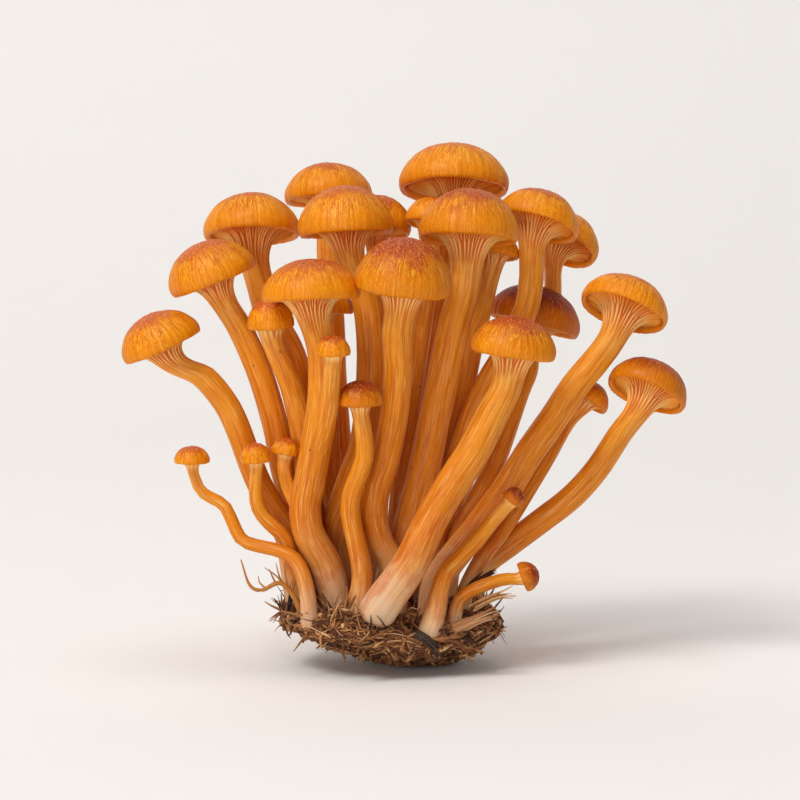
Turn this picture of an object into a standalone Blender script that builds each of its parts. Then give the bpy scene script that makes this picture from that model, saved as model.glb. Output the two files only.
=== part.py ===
# A cluster of orange-capped gilled mushrooms, standing on the clod of rotten wood and soil it grew from.
# The front faces -Y and +Z is up. Lengths below are millimetres, made metres as the meshes are written.
# Each mushroom is a skin-coloured cap and a flesh-coloured stem that widens into the gills under it.

import math
import random

import bmesh
import bpy
from mathutils import Vector, noise

MM = 0.001
GAP = 0.3  # left between pieces that touch

# The lines below are read in a front view: across, up, and depth behind the plane through the origin
VIEW_DISTANCE = 900
VIEW_DOWN = math.radians(5)
VIEW_CENTRE = (-0.9, 78.3)

# Gills
LARGE_GILLS = 16  # ridges round a large cap
SMALL_GILLS = 10
LARGE_CAP = 18.0  # caps at least this wide count as large
GILL_EDGE = 0.82  # share of the cap's radius that the gills reach
GILL_DROP = 0.85  # how far down the neck they run, in cap radii
GILL_RIDGE = 0.07  # height of a ridge, as a share of the radius there

# A cap's profile from crown to lip: share of its radius, share of its height
CAP_PROFILE = [(0.36, 0.94), (0.68, 0.74), (0.90, 0.42), (1.0, 0.07), (0.95, -0.11)]
CAP_INNER = 0.865  # where the inrolled lip ends under the cap
CAP_SIDES = {True: 16, False: 12}  # large, small
RING_STEP = 12.0  # spacing of the rings along a stem
RING_CUTS = 4  # a stem's line is cut this much finer, so that the gills can start anywhere
GILL_STARTS = (0.62, 0.24, 0.06, 0.0)  # shares of the gills' drop at which their rings stand
GILL_FLARE = 2.0  # the higher, the later they spread out under the cap
TURN = 2.5  # a stem turns towards its cap's axis over this many gill drops
AXIS_BLEND = 1.5  # its centre moves onto that axis over this many
FOOT_ROUND = 0.28  # length of a stem's rounded foot, as a share of its width

# Each mushroom: cap (width, height), its lean to the right and to the back in degrees,
# stem widths at base, middle and neck, and the stem's line from base to rim
MUSHROOMS = {
    "01": {
        "cap": (24.6, 9.9),
        "lean": (-24, -3),
        "widths": (8.6, 7.6, 7.2),
        "line": [
            (-30.5, 13.5, -5.5), (-32.8, 28, -5.5), (-35, 38.5, -5.5), (-43.5, 54, -6.5), (-50, 71, -9),
            (-54, 78.5, -10), (-60, 85.5, -11), (-68, 91.5, -12), (-72.3, 94.8, -12),
        ],
    },
    "02": {
        "cap": (26.4, 11.1),
        "lean": (-21, -3),
        "widths": (8.2, 7.8, 7.4),
        "line": [
            (-30.5, 13, 5.5), (-31.5, 28, 5.5), (-31, 42, 3), (-35.5, 56, 0), (-38, 69.5, -1),
            (-42.3, 84.5, -2), (-48.3, 98.5, -3), (-54, 109, -4), (-57, 115, -4),
        ],
    },
    "03": {
        "cap": (29.0, 12.2),
        "lean": (-2, 15),
        "widths": (8.4, 8.4, 8.6),
        "line": [
            (-23.5, 11, 12), (-25.5, 30, 12.5), (-28, 54, 12), (-29, 69, 13), (-30, 81, 14),
            (-34, 93.5, 15), (-40.5, 105, 16), (-43.5, 117, 17), (-45.3, 128.4, 17),
        ],
    },
    "04": {
        "cap": (27.0, 10.8),
        "lean": (-3, 10),
        "widths": (7.4, 7.2, 7.2),
        "line": [
            (-15, 15, 20), (-15, 30, 22.5), (-17.5, 50, 26), (-19.5, 72, 29), (-20.5, 87, 31),
            (-21, 101, 33), (-22.5, 123, 37), (-22.5, 139, 38),
        ],
    },
    "05": {
        "cap": (28.2, 13.2),
        "lean": (-3, 6),
        "widths": (8.6, 8.4, 8.6),
        "line": [
            (-16.5, 11, 2), (-18, 25, 2), (-20.5, 35, 1), (-19.5, 42.5, -2), (-15.5, 54.5, -5),
            (-12.3, 63.3, -5), (-10.5, 75, -4), (-9.6, 93, -3), (-11, 108, -2), (-14.5, 119, 0),
            (-17.1, 129.3, 0),
        ],
    },
    "06": {
        "cap": (20.4, 9.6),
        "lean": (13, 14),
        "widths": (6.2, 6.2, 6.2),
        "line": [
            (-9, 11, 16), (-8.5, 30, 17), (-8, 60, 19), (-7, 85, 19), (-6.5, 105, 20),
            (-7.6, 130.3, 22),
        ],
    },
    "07": {
        "cap": (28.8, 11.1),
        "lean": (-2.5, 4),
        "widths": (9.6, 9.2, 8.6),
        "line": [
            (-19.5, 11, -9), (-20.5, 20, -10), (-23, 29, -13), (-28, 38, -16), (-29.4, 46, -17),
            (-27.9, 54.5, -18), (-25.8, 66.3, -19), (-24, 79, -20), (-24, 92, -21),
            (-25.5, 103, -22), (-27.6, 109.2, -22),
        ],
    },
    "08": {
        "cap": (28.6, 14.0),
        "lean": (6, -6),
        "widths": (7.4, 8.6, 8.8),
        "line": [
            (-2, 11, -9), (-3.3, 28.8, -10), (-6.5, 35, -11), (-8.5, 41, -12), (-8.7, 47, -12.5),
            (-7.8, 53, -13), (-5.4, 60.5, -14), (-2.8, 73, -15), (-1.5, 87, -17), (-1.8, 99.5, -21),
            (0.0, 112.6, -25),
        ],
    },
    "09": {
        "cap": (33.8, 13.2),
        "lean": (1, 17),
        "widths": (7.6, 7.6, 7.8),
        "line": [
            (-1, 14, 17), (-1, 25, 17.5), (-1, 38, 17.5), (1.5, 54.5, 18), (4, 66.5, 19),
            (5.1, 78.5, 20), (6.5, 92, 21), (9.9, 111.5, 23), (11.4, 123.5, 24.5), (13.6, 136, 26),
            (15.3, 142.2, 26),
        ],
    },
    "10": {
        "cap": (29.8, 14.1),
        "lean": (3, 11),
        "widths": (9.6, 9.8, 9.2),
        "line": [
            (-6, 11, 0), (-3.5, 25, 0), (-0.3, 33.5, -1), (3.9, 48.5, -2), (6.3, 57.5, -2.5),
            (9.9, 75.5, -3), (12, 84.5, -3.5), (15.9, 102.5, -5), (18.3, 111.5, -6),
            (19.6, 127.5, -6),
        ],
    },
    "11": {
        "cap": (26.2, 10.8),
        "lean": (15.5, 20),
        "widths": (7.6, 7.5, 7.5),
        "line": [
            (6, 11, 1), (7.5, 30, 2), (9.6, 42.5, 3), (14, 54.5, 4), (17.7, 65, 4.5),
            (21.6, 75.5, 5), (26, 84.5, 6), (31.5, 93.5, 7), (35.7, 102.5, 8.5), (38, 110, 10),
            (39.9, 130.8, 14),
        ],
    },
    "12": {
        "cap": (25.0, 10.4),
        "lean": (25, 27),
        "widths": (6.0, 5.6, 5.6),
        "line": [
            (8, 13.5, 17.5), (11, 30, 19), (18.5, 54, 24), (26, 69, 31), (33.5, 83, 38), (41, 96, 45),
            (44.7, 109, 47), (46.8, 125.0, 47.5),
        ],
    },
    "13": {
        "cap": (29.0, 11.6),
        "lean": (16, 8),
        "widths": (6.6, 6.4, 6.4),
        "line": [
            (13, 11, 4), (13.5, 25, 4), (16.5, 38, 6), (21.6, 47, 8.5), (26.1, 56, 11.5),
            (29.1, 63.5, 14), (32.1, 72.5, 17.5), (35.1, 81.5, 21.5), (38.4, 90, 25.5),
            (39, 101.4, 27),
        ],
    },
    "14": {
        "cap": (24.8, 10.3),
        "lean": (8, -2),
        "widths": (11.4, 9.8, 8.6),
        "line": [
            (-7.4, 15.6, -28), (-5, 19, -28), (-0.8, 24.4, -27), (3, 30.5, -26), (8.6, 42.5, -25),
            (14.7, 53, -24), (21.2, 63, -23), (26.7, 74, -22), (30.5, 82, -22), (33.0, 92.9, -22),
        ],
    },
    "15": {
        "cap": (27.0, 10.2),
        "lean": (21.5, 23),
        "widths": (8.8, 8.8, 8.2),
        "line": [
            (8.5, 11, -13), (9.6, 21.5, -12.5), (12.6, 27.5, -11.5), (17.1, 33.5, -10),
            (22.5, 40, -8), (30.9, 51.2, -6), (38, 62.6, -4), (45, 72.6, -2), (51.6, 82.6, 0),
            (58.5, 91, 1), (62.9, 98, 2), (66.3, 105.2, 2),
        ],
    },
    "16": {
        "cap": (24.4, 10.0),
        "lean": (24, 24),
        "widths": (7.2, 7.4, 7.2),
        "line": [
            (20, 12, 6), (20.8, 20, 6), (24, 28.5, 6), (32, 35, 5), (41.6, 42.2, 3),
            (50.6, 49.2, 2), (57.8, 57.1, 2), (63.2, 65.2, 2), (68.2, 73, 2), (73.1, 80.5, 2),
        ],
    },
    "17": {
        "cap": (13.6, 6.0),
        "lean": (35, 12),
        "widths": (5.2, 5.0, 4.8),
        "line": [
            (17, 11, -6), (18.5, 20, -6), (21.6, 27, -5), (25.2, 33, -4), (29.1, 38, -2),
            (33.6, 45, 1), (37.2, 51, 3), (43.2, 61, 7), (49.5, 72, 11), (55.2, 78.3, 12),
        ],
    },
    "18": {
        "cap": (15.4, 8.0),
        "lean": (10, 14),
        "widths": (5.8, 5.8, 6.0),
        "line": [
            (-2.5, 11, 9), (-2.5, 30, 9), (-1, 50, 9.5), (1.5, 70, 10), (4, 88, 10.5),
            (6.5, 105, 11), (8, 118, 12), (8.2, 131.4, 13),
        ],
    },
    "19": {
        "cap": (13.8, 8.0),
        "lean": (-4, -5),
        "widths": (7.0, 7.0, 7.0),
        "line": [
            (-25, 11, 0.5), (-25.3, 27, -1), (-27.2, 38, -4.5), (-28.5, 52, -7), (-30, 66.5, -6),
            (-32.7, 80, -6), (-35.1, 87, -7), (-37.8, 93.5, -8), (-39.7, 100.8, -9),
        ],
    },
    "20": {
        "cap": (20.4, 8.4),
        "lean": (0, 4),
        "widths": (6.6, 6.6, 6.6),
        "line": [
            (-16.5, 11, 10.5), (-18, 30, 10.5), (-21, 50, 8), (-22.5, 70, 6), (-23.5, 85, 4),
            (-25, 105, 3),
        ],
    },
    "22": {
        "cap": (13.2, 6.3),
        "lean": (0, -4),
        "widths": (7.8, 5.6, 4.8),
        "line": [
            (-13.5, 9.5, -17), (-13.3, 17, -18), (-12.3, 23, -18.5), (-12.6, 29, -19),
            (-15, 39.5, -20), (-15.9, 45.5, -20.5), (-15, 51.5, -21), (-12.6, 57.5, -22),
            (-11.4, 63.5, -22.5), (-12.9, 77.7, -24),
        ],
    },
    "23": {
        "cap": (9.0, 5.1),
        "lean": (-3, -3),
        "widths": (5.4, 4.4, 3.4),
        "line": [
            (-27.5, 15, -12.6), (-33, 28, -13.5), (-35, 36, -13.5), (-38.5, 40, -14.5), (-42, 43.5, -15),
            (-44.1, 48.5, -16), (-44.1, 60.3, -17),
        ],
    },
    "25": {
        "cap": (10.5, 4.5),
        "lean": (0, -3),
        "widths": (5.4, 3.9, 3.1),
        "line": [
            (-28, 11, -19), (-28.5, 19, -20), (-30, 26, -20), (-32.4, 30.5, -19), (-37, 33, -18),
            (-45.3, 35, -16), (-48.9, 37, -15.5), (-52.2, 44, -14.5), (-54.3, 47.2, -14),
            (-60.9, 51.4, -13.5), (-63.3, 60, -13),
        ],
    },
    "26": {
        "cap": (6.8, 4.0),
        "lean": (40, -5),
        "widths": (7.4, 4.8, 3.8),
        "line": [
            (8.1, 8.5, -22), (9.9, 15.5, -22), (11.1, 21.5, -21.5), (13.2, 27, -20),
            (17.1, 31, -18.5), (21.6, 35.5, -17), (26.1, 41, -16), (32.7, 48.3, -15.5),
        ],
    },
    "27": {
        "cap": (8.8, 4.6),
        "lean": (69, -3),
        "widths": (4.6, 3.9, 3.4),
        "line": [
            (15, 12, -16.5), (16.5, 18, -16), (20, 20.8, -15.5), (25.5, 23.2, -15),
            (31, 24.7, -14.5), (36.3, 25.2, -14),
        ],
    },
    "28": {
        "cap": (16.0, 6.5),
        "lean": (8, 12),
        "widths": (7.6, 7.6, 6.8),
        "line": [
            (6, 11, 9), (7.5, 30, 10.5), (9.5, 45, 12), (12.5, 60, 12), (17.1, 78.5, 12),
            (20.7, 96.5, 12), (23.1, 105.5, 13), (27, 122, 15),
        ],
    },
}

# Small mushrooms that grow out of the side of another stem, and are one body with it
BRANCH_STEM = "stem_07"
BRANCHES = {
    "21": {
        "cap": (9.9, 5.1),
        "lean": (0, -4),
        "widths": (6.4, 5.4, 5.0),
        "line": [
            (-25.5, 62, -19), (-23.3, 70, -23.5), (-21.9, 78, -27), (-21.3, 86, -29.5),
            (-21, 92.4, -30.5),
        ],
    },
    "24": {
        "cap": (8.7, 4.2),
        "lean": (8, -3),
        "widths": (4.6, 4.2, 4.0),
        "line": [
            (-29.5, 41, -17), (-32, 47, -16), (-34.3, 52, -14), (-35.7, 57.5, -13), (-35.1, 62.7, -13),
        ],
    },
}

# Clod
CLOD_CENTRE = Vector((-4.2, -2.0))
CLOD_REACH = (33.8, 28.8)  # half its width and depth
CLOD_TOP = 18.5
FRONT_DIP = 6.5  # how much lower it is at the front, where the stems' feet show
DIP_WAY = math.radians(-75)  # the way from its middle in which it is lowest
CLOD_SIDES = 32
# Its profile from the top down: share of its height, share of its reach
CLOD_PROFILE = [(1.0, 0.3), (1.0, 0.58), (0.94, 0.8), (0.82, 0.96), (0.62, 0.93), (0.4, 0.7), (0.2, 0.5)]
FOOT_CENTRE = Vector((4.0, 2.0))
FOOT_REACH = (13.0, 13.0)  # half of the flat spot that it stands on, round the centre of mass
SETTLE = 1.4  # the foot's centre passes into the clod's this fast with height
LUMP = 2.6  # how far the large lumps stand out
LUMPS = 2.7  # how close together they are
CRUMB = 1.1  # how far the small ones stand out
SIDE_FIBRES = 48
TOP_FIBRES = 10
FIBRE_LENGTH = (6.0, 15.0)
FIBRE_WIDTH = 1.4
FIBRE_BEND = 0.55  # share of its length at which a fibre bends
FIBRE_ROOT = 0.82  # share of the clod's reach at which it starts
SEED = 11

# Wood scraps and a rootlet caught in the clod: widths at root and tip, then the line
SCRAPS = {
    "splinter_pale": ((4.2, 1.4), [(13, 8.6, -27), (20, 11.6, -27), (28.8, 15.2, -26)]),
    "splinter_dark": ((3.0, 1.6), [(2, 16, -26), (6, 9, -28.5), (12.5, 2.6, -27)]),
    "stick_dark": (
        (1.2, 1.3),
        [(-34.4, 11, -9.5), (-34.3, 15, -11.5), (-33.7, 20, -14.8), (-32.6, 24.8, -18)],
    ),
    "rootlet": (
        (2.0, 0.7),
        [
            (-30, 14.5, -16), (-32.5, 19, -18), (-36.9, 23.4, -19.5), (-42.3, 21.3, -20), (-46, 22.8, -20),
            (-48.6, 30.3, -20),
        ],
    ),
}

# sRGB colour and roughness of each material
SKIN = ("#D9801E", 0.42)
FLESH = ("#E3A04C", 0.5)
SOIL = ("#5E3A1E", 0.9)
SCRAP_LOOKS = {
    "splinter_pale": ("#B98A55", 0.8),
    "splinter_dark": ("#3B2A20", 0.85),
    "stick_dark": ("#2E211A", 0.85),
    "rootlet": ("#C98634", 0.6),
}


def clear_scene():
    for thing in list(bpy.data.objects):
        bpy.data.objects.remove(thing, do_unlink=True)


def material(name, look):
    colour, roughness = look
    made = bpy.data.materials.get(name) or bpy.data.materials.new(name)
    made.use_nodes = True
    surface = made.node_tree.nodes["Principled BSDF"]
    channels = [int(colour[i : i + 2], 16) / 255 for i in (1, 3, 5)]
    linear = [c / 12.92 if c <= 0.04045 else ((c + 0.055) / 1.055) ** 2.4 for c in channels]
    surface.inputs["Base Color"].default_value = (*linear, 1)
    surface.inputs["Roughness"].default_value = roughness
    surface.inputs["Metallic"].default_value = 0
    return made


def placed(across, up, depth):
    """The point that a front view shows at across and up, at this depth."""
    rise = Vector((0, math.sin(VIEW_DOWN), math.cos(VIEW_DOWN)))
    ahead = Vector((0, math.cos(VIEW_DOWN), -math.sin(VIEW_DOWN)))
    eye = Vector((VIEW_CENTRE[0], 0, 0)) + rise * VIEW_CENTRE[1] - ahead * VIEW_DISTANCE
    seen = Vector((across, 0, 0)) + rise * up
    reach = (depth - eye.y) / (seen.y - eye.y)
    return eye + (seen - eye) * reach


def smooth_line(points, steps):
    """Points evenly spread along a smooth curve through these, which keeps its own ends."""
    ends = [2 * points[0] - points[1]] + points + [2 * points[-1] - points[-2]]
    dense = []
    for a, b, c, d in zip(ends, ends[1:], ends[2:], ends[3:]):
        for i in range(12):
            t = i / 12
            square, cube = 2 * a - 5 * b + 4 * c - d, 3 * b - a - 3 * c + d
            dense.append(0.5 * (2 * b + (c - a) * t + square * t**2 + cube * t**3))
    dense.append(points[-1])
    lengths = [0.0]
    for p, q in zip(dense, dense[1:]):
        lengths.append(lengths[-1] + (q - p).length)
    return [at_length(dense, lengths, lengths[-1] * i / steps) for i in range(steps + 1)], lengths[-1]


def at_length(dense, lengths, wanted):
    for i in range(1, len(dense)):
        if lengths[i] >= wanted:
            share = (wanted - lengths[i - 1]) / max(lengths[i] - lengths[i - 1], 1e-9)
            return dense[i - 1].lerp(dense[i], share)
    return dense[-1].copy()


def cap_axis(lean):
    right, back = math.radians(lean[0]), math.radians(lean[1])
    return Vector((math.sin(right) * math.cos(back), math.sin(back), math.cos(right) * math.cos(back)))


def ring(centre, normal, radius, count, ridge=0.0):
    """Points round a centre, every second one pulled in by the ridge's share."""
    side = Vector((0, -1, 0))
    side = (side - normal * side.dot(normal)).normalized()
    other = normal.cross(side)
    points = []
    for i in range(count):
        angle = 2 * math.pi * i / count
        r = radius * (1 - ridge * (i % 2))
        points.append(centre + (side * math.cos(angle) + other * math.sin(angle)) * r)
    return points


def width_at(widths, share):
    base, middle, neck = widths
    if share < 0.5:
        return base + (middle - base) * math.sin(math.pi * share)
    return neck + (middle - neck) * math.sin(math.pi * share)


def loft(rings, start, end):
    """A closed mesh through rings of points, where a ring may hold four times as many as the one before."""
    mesh = bmesh.new()
    rows = [[mesh.verts.new(p * MM) for p in points] for points in rings]
    for low, high in zip(rows, rows[1:]):
        join_rows(mesh, low, high)
    for row, tip in ((rows[0], start), (rows[-1], end)):
        point = mesh.verts.new(tip * MM)
        for i, vertex in enumerate(row):
            mesh.faces.new((vertex, row[(i + 1) % len(row)], point))
    bmesh.ops.recalc_face_normals(mesh, faces=mesh.faces)
    bmesh.ops.triangulate(mesh, faces=mesh.faces)  # flat faces, which a Boolean cuts cleanly
    return mesh


def join_rows(mesh, low, high):
    count, times = len(low), len(high) // len(low)
    for i in range(count):
        a, b = low[i], low[(i + 1) % count]
        if times == 1:
            mesh.faces.new((a, b, high[(i + 1) % count], high[i]))
            continue
        row = [high[(i * times + k) % len(high)] for k in range(times + 1)]
        half = times // 2
        for k in range(half):
            mesh.faces.new((a, row[k + 1], row[k]))
        mesh.faces.new((a, b, row[half]))
        for k in range(half, times):
            mesh.faces.new((b, row[k + 1], row[k]))


def add_object(name, mesh, look_name, look):
    data = bpy.data.meshes.new(name)
    mesh.to_mesh(data)
    mesh.free()
    data.shade_smooth()
    data.set_sharp_from_angle(angle=math.radians(40))
    data.materials.append(material(look_name, look))
    made = bpy.data.objects.new(name, data)
    bpy.context.scene.collection.objects.link(made)
    return made


def stem_rings(mushroom, sides, upto=1.0, more=0.0):
    """The plain rings of a stem from its base up to where the gills start, or to a share of that."""
    line = [placed(*p) for p in mushroom["line"]]
    radius = mushroom["cap"][0] / 2
    axis = cap_axis(mushroom["lean"])
    drop = GILL_DROP * radius
    _, length = smooth_line(line, 1)
    steps = max(4, round(length / RING_STEP))
    cuts = steps * RING_CUTS
    points, length = smooth_line(line, cuts)
    rings = []
    for i in range(0, cuts + 1, RING_CUTS):
        share = i / cuts
        if share > upto or length * (1 - share) < drop * 1.1:
            break
        ahead = (points[min(i + 1, len(points) - 1)] - points[max(i - 1, 0)]).normalized()
        below = length * (1 - share)
        lean_in = max(0.0, 1 - below / (TURN * drop))
        normal = ahead.lerp(axis, lean_in).normalized()
        centre = (line[-1] - axis * below).lerp(points[i], off_axis(below, drop))
        rings.append(ring(centre, normal, width_at(mushroom["widths"], share) / 2 + more, sides))
    first = (points[1] - points[0]).normalized()
    start = points[0] - first * (mushroom["widths"][0] * FOOT_ROUND + more)
    return rings, start


def off_axis(below, drop):
    """How far the stem's centre keeps to its own line at this distance below the rim: 0 on the cap's axis."""
    share = min(1.0, below / (AXIS_BLEND * drop))
    return share * share * (3 - 2 * share)


def gill_rings(mushroom, ridges):
    """Ridged rings that widen from the neck to just under the cap's lip, and the tip that closes them."""
    line = [placed(*p) for p in mushroom["line"]]
    radius = mushroom["cap"][0] / 2
    axis = cap_axis(mushroom["lean"])
    drop = GILL_DROP * radius
    neck = mushroom["widths"][2] / 2
    edge = min(GILL_EDGE * radius, CAP_INNER * radius - GAP)
    points, length = smooth_line(line, 120)
    rings = []
    for share in GILL_STARTS:
        below = share * drop
        on_line = points[round((len(points) - 1) * (1 - below / length))]
        on_axis = line[-1] - axis * below
        centre = on_axis.lerp(on_line, off_axis(below, drop))
        wide = neck + (edge - neck) * (1 - math.sqrt(share)) ** GILL_FLARE
        ridge = GILL_RIDGE * (1 - share)
        rings.append(ring(centre, axis, wide, 2 * ridges, ridge))
    return rings, line[-1] + axis * 0.02


def make_stem(name, mushroom):
    large = mushroom["cap"][0] >= LARGE_CAP
    ridges = LARGE_GILLS if large else SMALL_GILLS
    rings, start = stem_rings(mushroom, ridges // 2)
    gills, tip = gill_rings(mushroom, ridges)
    return add_object(name, loft(rings + gills, start, tip), "flesh", FLESH)


def make_cap(name, mushroom):
    wide, height = mushroom["cap"]
    large = wide >= LARGE_CAP
    axis = cap_axis(mushroom["lean"])
    rim = placed(*mushroom["line"][-1])
    rings = [ring(rim + axis * height * z, axis, wide / 2 * r, CAP_SIDES[large]) for r, z in CAP_PROFILE]
    under = rim + axis * (GAP + 0.05)
    rings.append(ring(under, axis, wide / 2 * CAP_INNER, CAP_SIDES[large]))
    return add_object(name, loft(rings, rim + axis * height, under), "cap skin", SKIN)


def tapered_rod(line, widths, sides, more=0.0):
    points = [placed(*p) for p in line]
    curve, _ = smooth_line(points, 2 * (len(points) - 1))
    last = len(curve) - 1
    rings = []
    for i, centre in enumerate(curve):
        normal = (curve[min(i + 1, last)] - curve[max(i - 1, 0)]).normalized()
        wide = widths[0] + (widths[1] - widths[0]) * i / last
        rings.append(ring(centre, normal, wide / 2 + more, sides))
    start = curve[0] + (curve[0] - curve[1]).normalized() * (widths[0] / 4 + more)
    end = curve[-1] + (curve[-1] - curve[-2]).normalized() * (widths[1] + more)
    return loft(rings, start, end)


def clod_height(angle, reach):
    """Height of the clod's top this way from its middle, at this share of its reach."""
    front = max(0.0, math.cos(angle - DIP_WAY))
    return CLOD_TOP - FRONT_DIP * reach * front**2


def clod_body(draw):
    """The lump itself: a rough mound, widest at mid height, that narrows to the flat spot under it."""
    rings = []
    for share, reach in CLOD_PROFILE:
        points = []
        for i in range(CLOD_SIDES):
            angle = 2 * math.pi * i / CLOD_SIDES
            way = Vector((math.cos(angle), math.sin(angle), share * 1.5))
            lump = noise.noise(way * LUMPS) * LUMP * 1.6 + draw.uniform(-CRUMB, CRUMB)
            lift = noise.noise(way * LUMPS + Vector((9, 5, 2))) * LUMP + draw.uniform(-CRUMB, CRUMB)
            centre = FOOT_CENTRE.lerp(CLOD_CENTRE, min(1.0, share * SETTLE))
            x = centre.x + (CLOD_REACH[0] * reach + lump) * way.x
            y = centre.y + (CLOD_REACH[1] * reach + lump) * way.y
            z = share * clod_height(angle, reach) + lift * min(1, share * 4)
            points.append(Vector((x, y, max(z, 1.2))))
        rings.append(points)
    foot = []
    for i in range(CLOD_SIDES):
        angle = 2 * math.pi * i / CLOD_SIDES
        reach = 1 + draw.uniform(-0.08, 0.08)
        x = FOOT_CENTRE.x + FOOT_REACH[0] * reach * math.cos(angle)
        y = FOOT_CENTRE.y + FOOT_REACH[1] * reach * math.sin(angle)
        foot.append(Vector((x, y, 0)))
    bottom = Vector((*FOOT_CENTRE, 0))
    top = Vector((*CLOD_CENTRE, CLOD_TOP))
    return add_object("clod", loft([foot] + rings[::-1], bottom, top), "soil", SOIL)


def fibre(name, root, first, second, length):
    """A bent three-sided spike from a root, along one way and then another."""
    middle = root + first.normalized() * length * FIBRE_BEND
    tip = middle + second.normalized() * length * (1 - FIBRE_BEND)
    tip.z = max(tip.z, 0.8)
    middle.z = max(middle.z, 1.4)
    normal = (tip - root).normalized()
    rings = [ring(root, normal, FIBRE_WIDTH * 0.75, 3), ring(middle, normal, FIBRE_WIDTH * 0.5, 3)]
    return add_object(name, loft(rings, root - normal, tip), "soil", SOIL)


def side_fibre(number, draw):
    """A fibre that stands out of the clod's side or its lower edge."""
    angle = 2 * math.pi * (number + draw.uniform(-0.4, 0.4)) / SIDE_FIBRES
    share, reach = draw.choice(CLOD_PROFILE[3:6])
    out = Vector((math.cos(angle), math.sin(angle), 0))
    across = Vector((-out.y, out.x, 0)) * draw.uniform(-1.2, 1.2)
    rise = Vector((0, 0, draw.uniform(-0.5, 0.5)))
    x = CLOD_CENTRE.x + out.x * CLOD_REACH[0] * reach * FIBRE_ROOT
    y = CLOD_CENTRE.y + out.y * CLOD_REACH[1] * reach * FIBRE_ROOT
    root = Vector((x, y, max(share * clod_height(angle, reach), 3.5)))
    length = draw.uniform(*FIBRE_LENGTH) * (0.4 + 0.6 * share)
    return fibre(f"fibre_{number}", root, out + across * 0.5 + rise, out + across, length)


def top_fibre(number, draw):
    """A fibre that stands up between the stems."""
    angle, share = draw.uniform(0, 2 * math.pi), math.sqrt(draw.uniform(0.05, 0.8))
    out = Vector((math.cos(angle), math.sin(angle), 0))
    x = CLOD_CENTRE.x + out.x * CLOD_REACH[0] * share * 0.9
    y = CLOD_CENTRE.y + out.y * CLOD_REACH[1] * share * 0.9
    root = Vector((x, y, clod_height(angle, share) * 0.7))
    up = Vector((draw.uniform(-0.3, 0.3), draw.uniform(-0.3, 0.3), 1))
    return fibre(f"top_fibre_{number}", root, up, up + out, draw.uniform(9, 14))


def apply_boolean(target, helper, operation):
    """Joins or cuts with a helper, or with all the objects of a collection, and applies it."""
    modifier = target.modifiers.new("shape", "BOOLEAN")
    modifier.operation = operation
    modifier.solver = "EXACT"
    if isinstance(helper, bpy.types.Collection):
        modifier.operand_type = "COLLECTION"
        modifier.collection = helper
    else:
        modifier.object = helper
    graph = bpy.context.evaluated_depsgraph_get()
    result = bpy.data.meshes.new_from_object(target.evaluated_get(graph))
    target.modifiers.clear()
    target.data = result


def join_all(target, helpers):
    group = bpy.data.collections.new("repeats")
    for helper in helpers:
        group.objects.link(helper)
    apply_boolean(target, group, "UNION")
    for helper in helpers:
        bpy.data.objects.remove(helper, do_unlink=True)
    bpy.data.collections.remove(group)


def cut_each(target, helpers):
    """Cuts one hole at a time, because holes that meet leave scraps when they are cut together."""
    for helper in helpers:
        apply_boolean(target, helper, "DIFFERENCE")
        bpy.data.objects.remove(helper, do_unlink=True)


def drop_loose_scraps(target):
    """Keeps only the largest body of a mesh that a Boolean may have cut crumbs from."""
    mesh = bmesh.new()
    mesh.from_mesh(target.data)
    left, bodies = set(mesh.verts), []
    while left:
        body, front = set(), [next(iter(left))]
        while front:
            vertex = front.pop()
            if vertex in body:
                continue
            body.add(vertex)
            front.extend(edge.other_vert(vertex) for edge in vertex.link_edges)
        left -= body
        bodies.append(body)
    largest = max(bodies, key=len)
    extra = [v for body in bodies if body is not largest for v in body]
    bmesh.ops.delete(mesh, geom=extra, context="VERTS")
    mesh.to_mesh(target.data)
    mesh.free()


def hole_cutters():
    """The lower part of each stem and each scrap, a gap wider all round."""
    cutters = []
    for name, mushroom in MUSHROOMS.items():
        rings, start = stem_rings(mushroom, 8, 0.5, GAP)
        top = sum(rings[-1], Vector()) / len(rings[-1])
        cutters.append(add_object(f"hole_{name}", loft(rings, start, top), "soil", SOIL))
    for name, (widths, line) in SCRAPS.items():
        cutters.append(add_object(f"hole_{name}", tapered_rod(line, widths, 6, GAP), "soil", SOIL))
    return cutters


def make_clod():
    draw = random.Random(SEED)
    clod = clod_body(draw)
    fibres = [side_fibre(i, draw) for i in range(SIDE_FIBRES)]
    fibres += [top_fibre(i, draw) for i in range(TOP_FIBRES)]
    join_all(clod, fibres)
    cut_each(clod, hole_cutters())
    drop_loose_scraps(clod)


def main():
    clear_scene()
    for number, mushroom in MUSHROOMS.items():
        make_stem(f"stem_{number}", mushroom)
        make_cap(f"cap_{number}", mushroom)
    branches = []
    for number, mushroom in BRANCHES.items():
        branches.append(make_stem(f"branch_{number}", mushroom))
        make_cap(f"cap_{number}", mushroom)
    join_all(bpy.data.objects[BRANCH_STEM], branches)
    for name, (widths, line) in SCRAPS.items():
        add_object(name, tapered_rod(line, widths, 6), name.replace("_", " "), SCRAP_LOOKS[name])
    make_clod()


main()
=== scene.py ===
# A cluster of orange gilled mushrooms on the clod of rotten wood that they grew from.
# Lengths are millimetres until a mesh is written. The front faces -Y and +Z is up.

import math
import random

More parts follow.
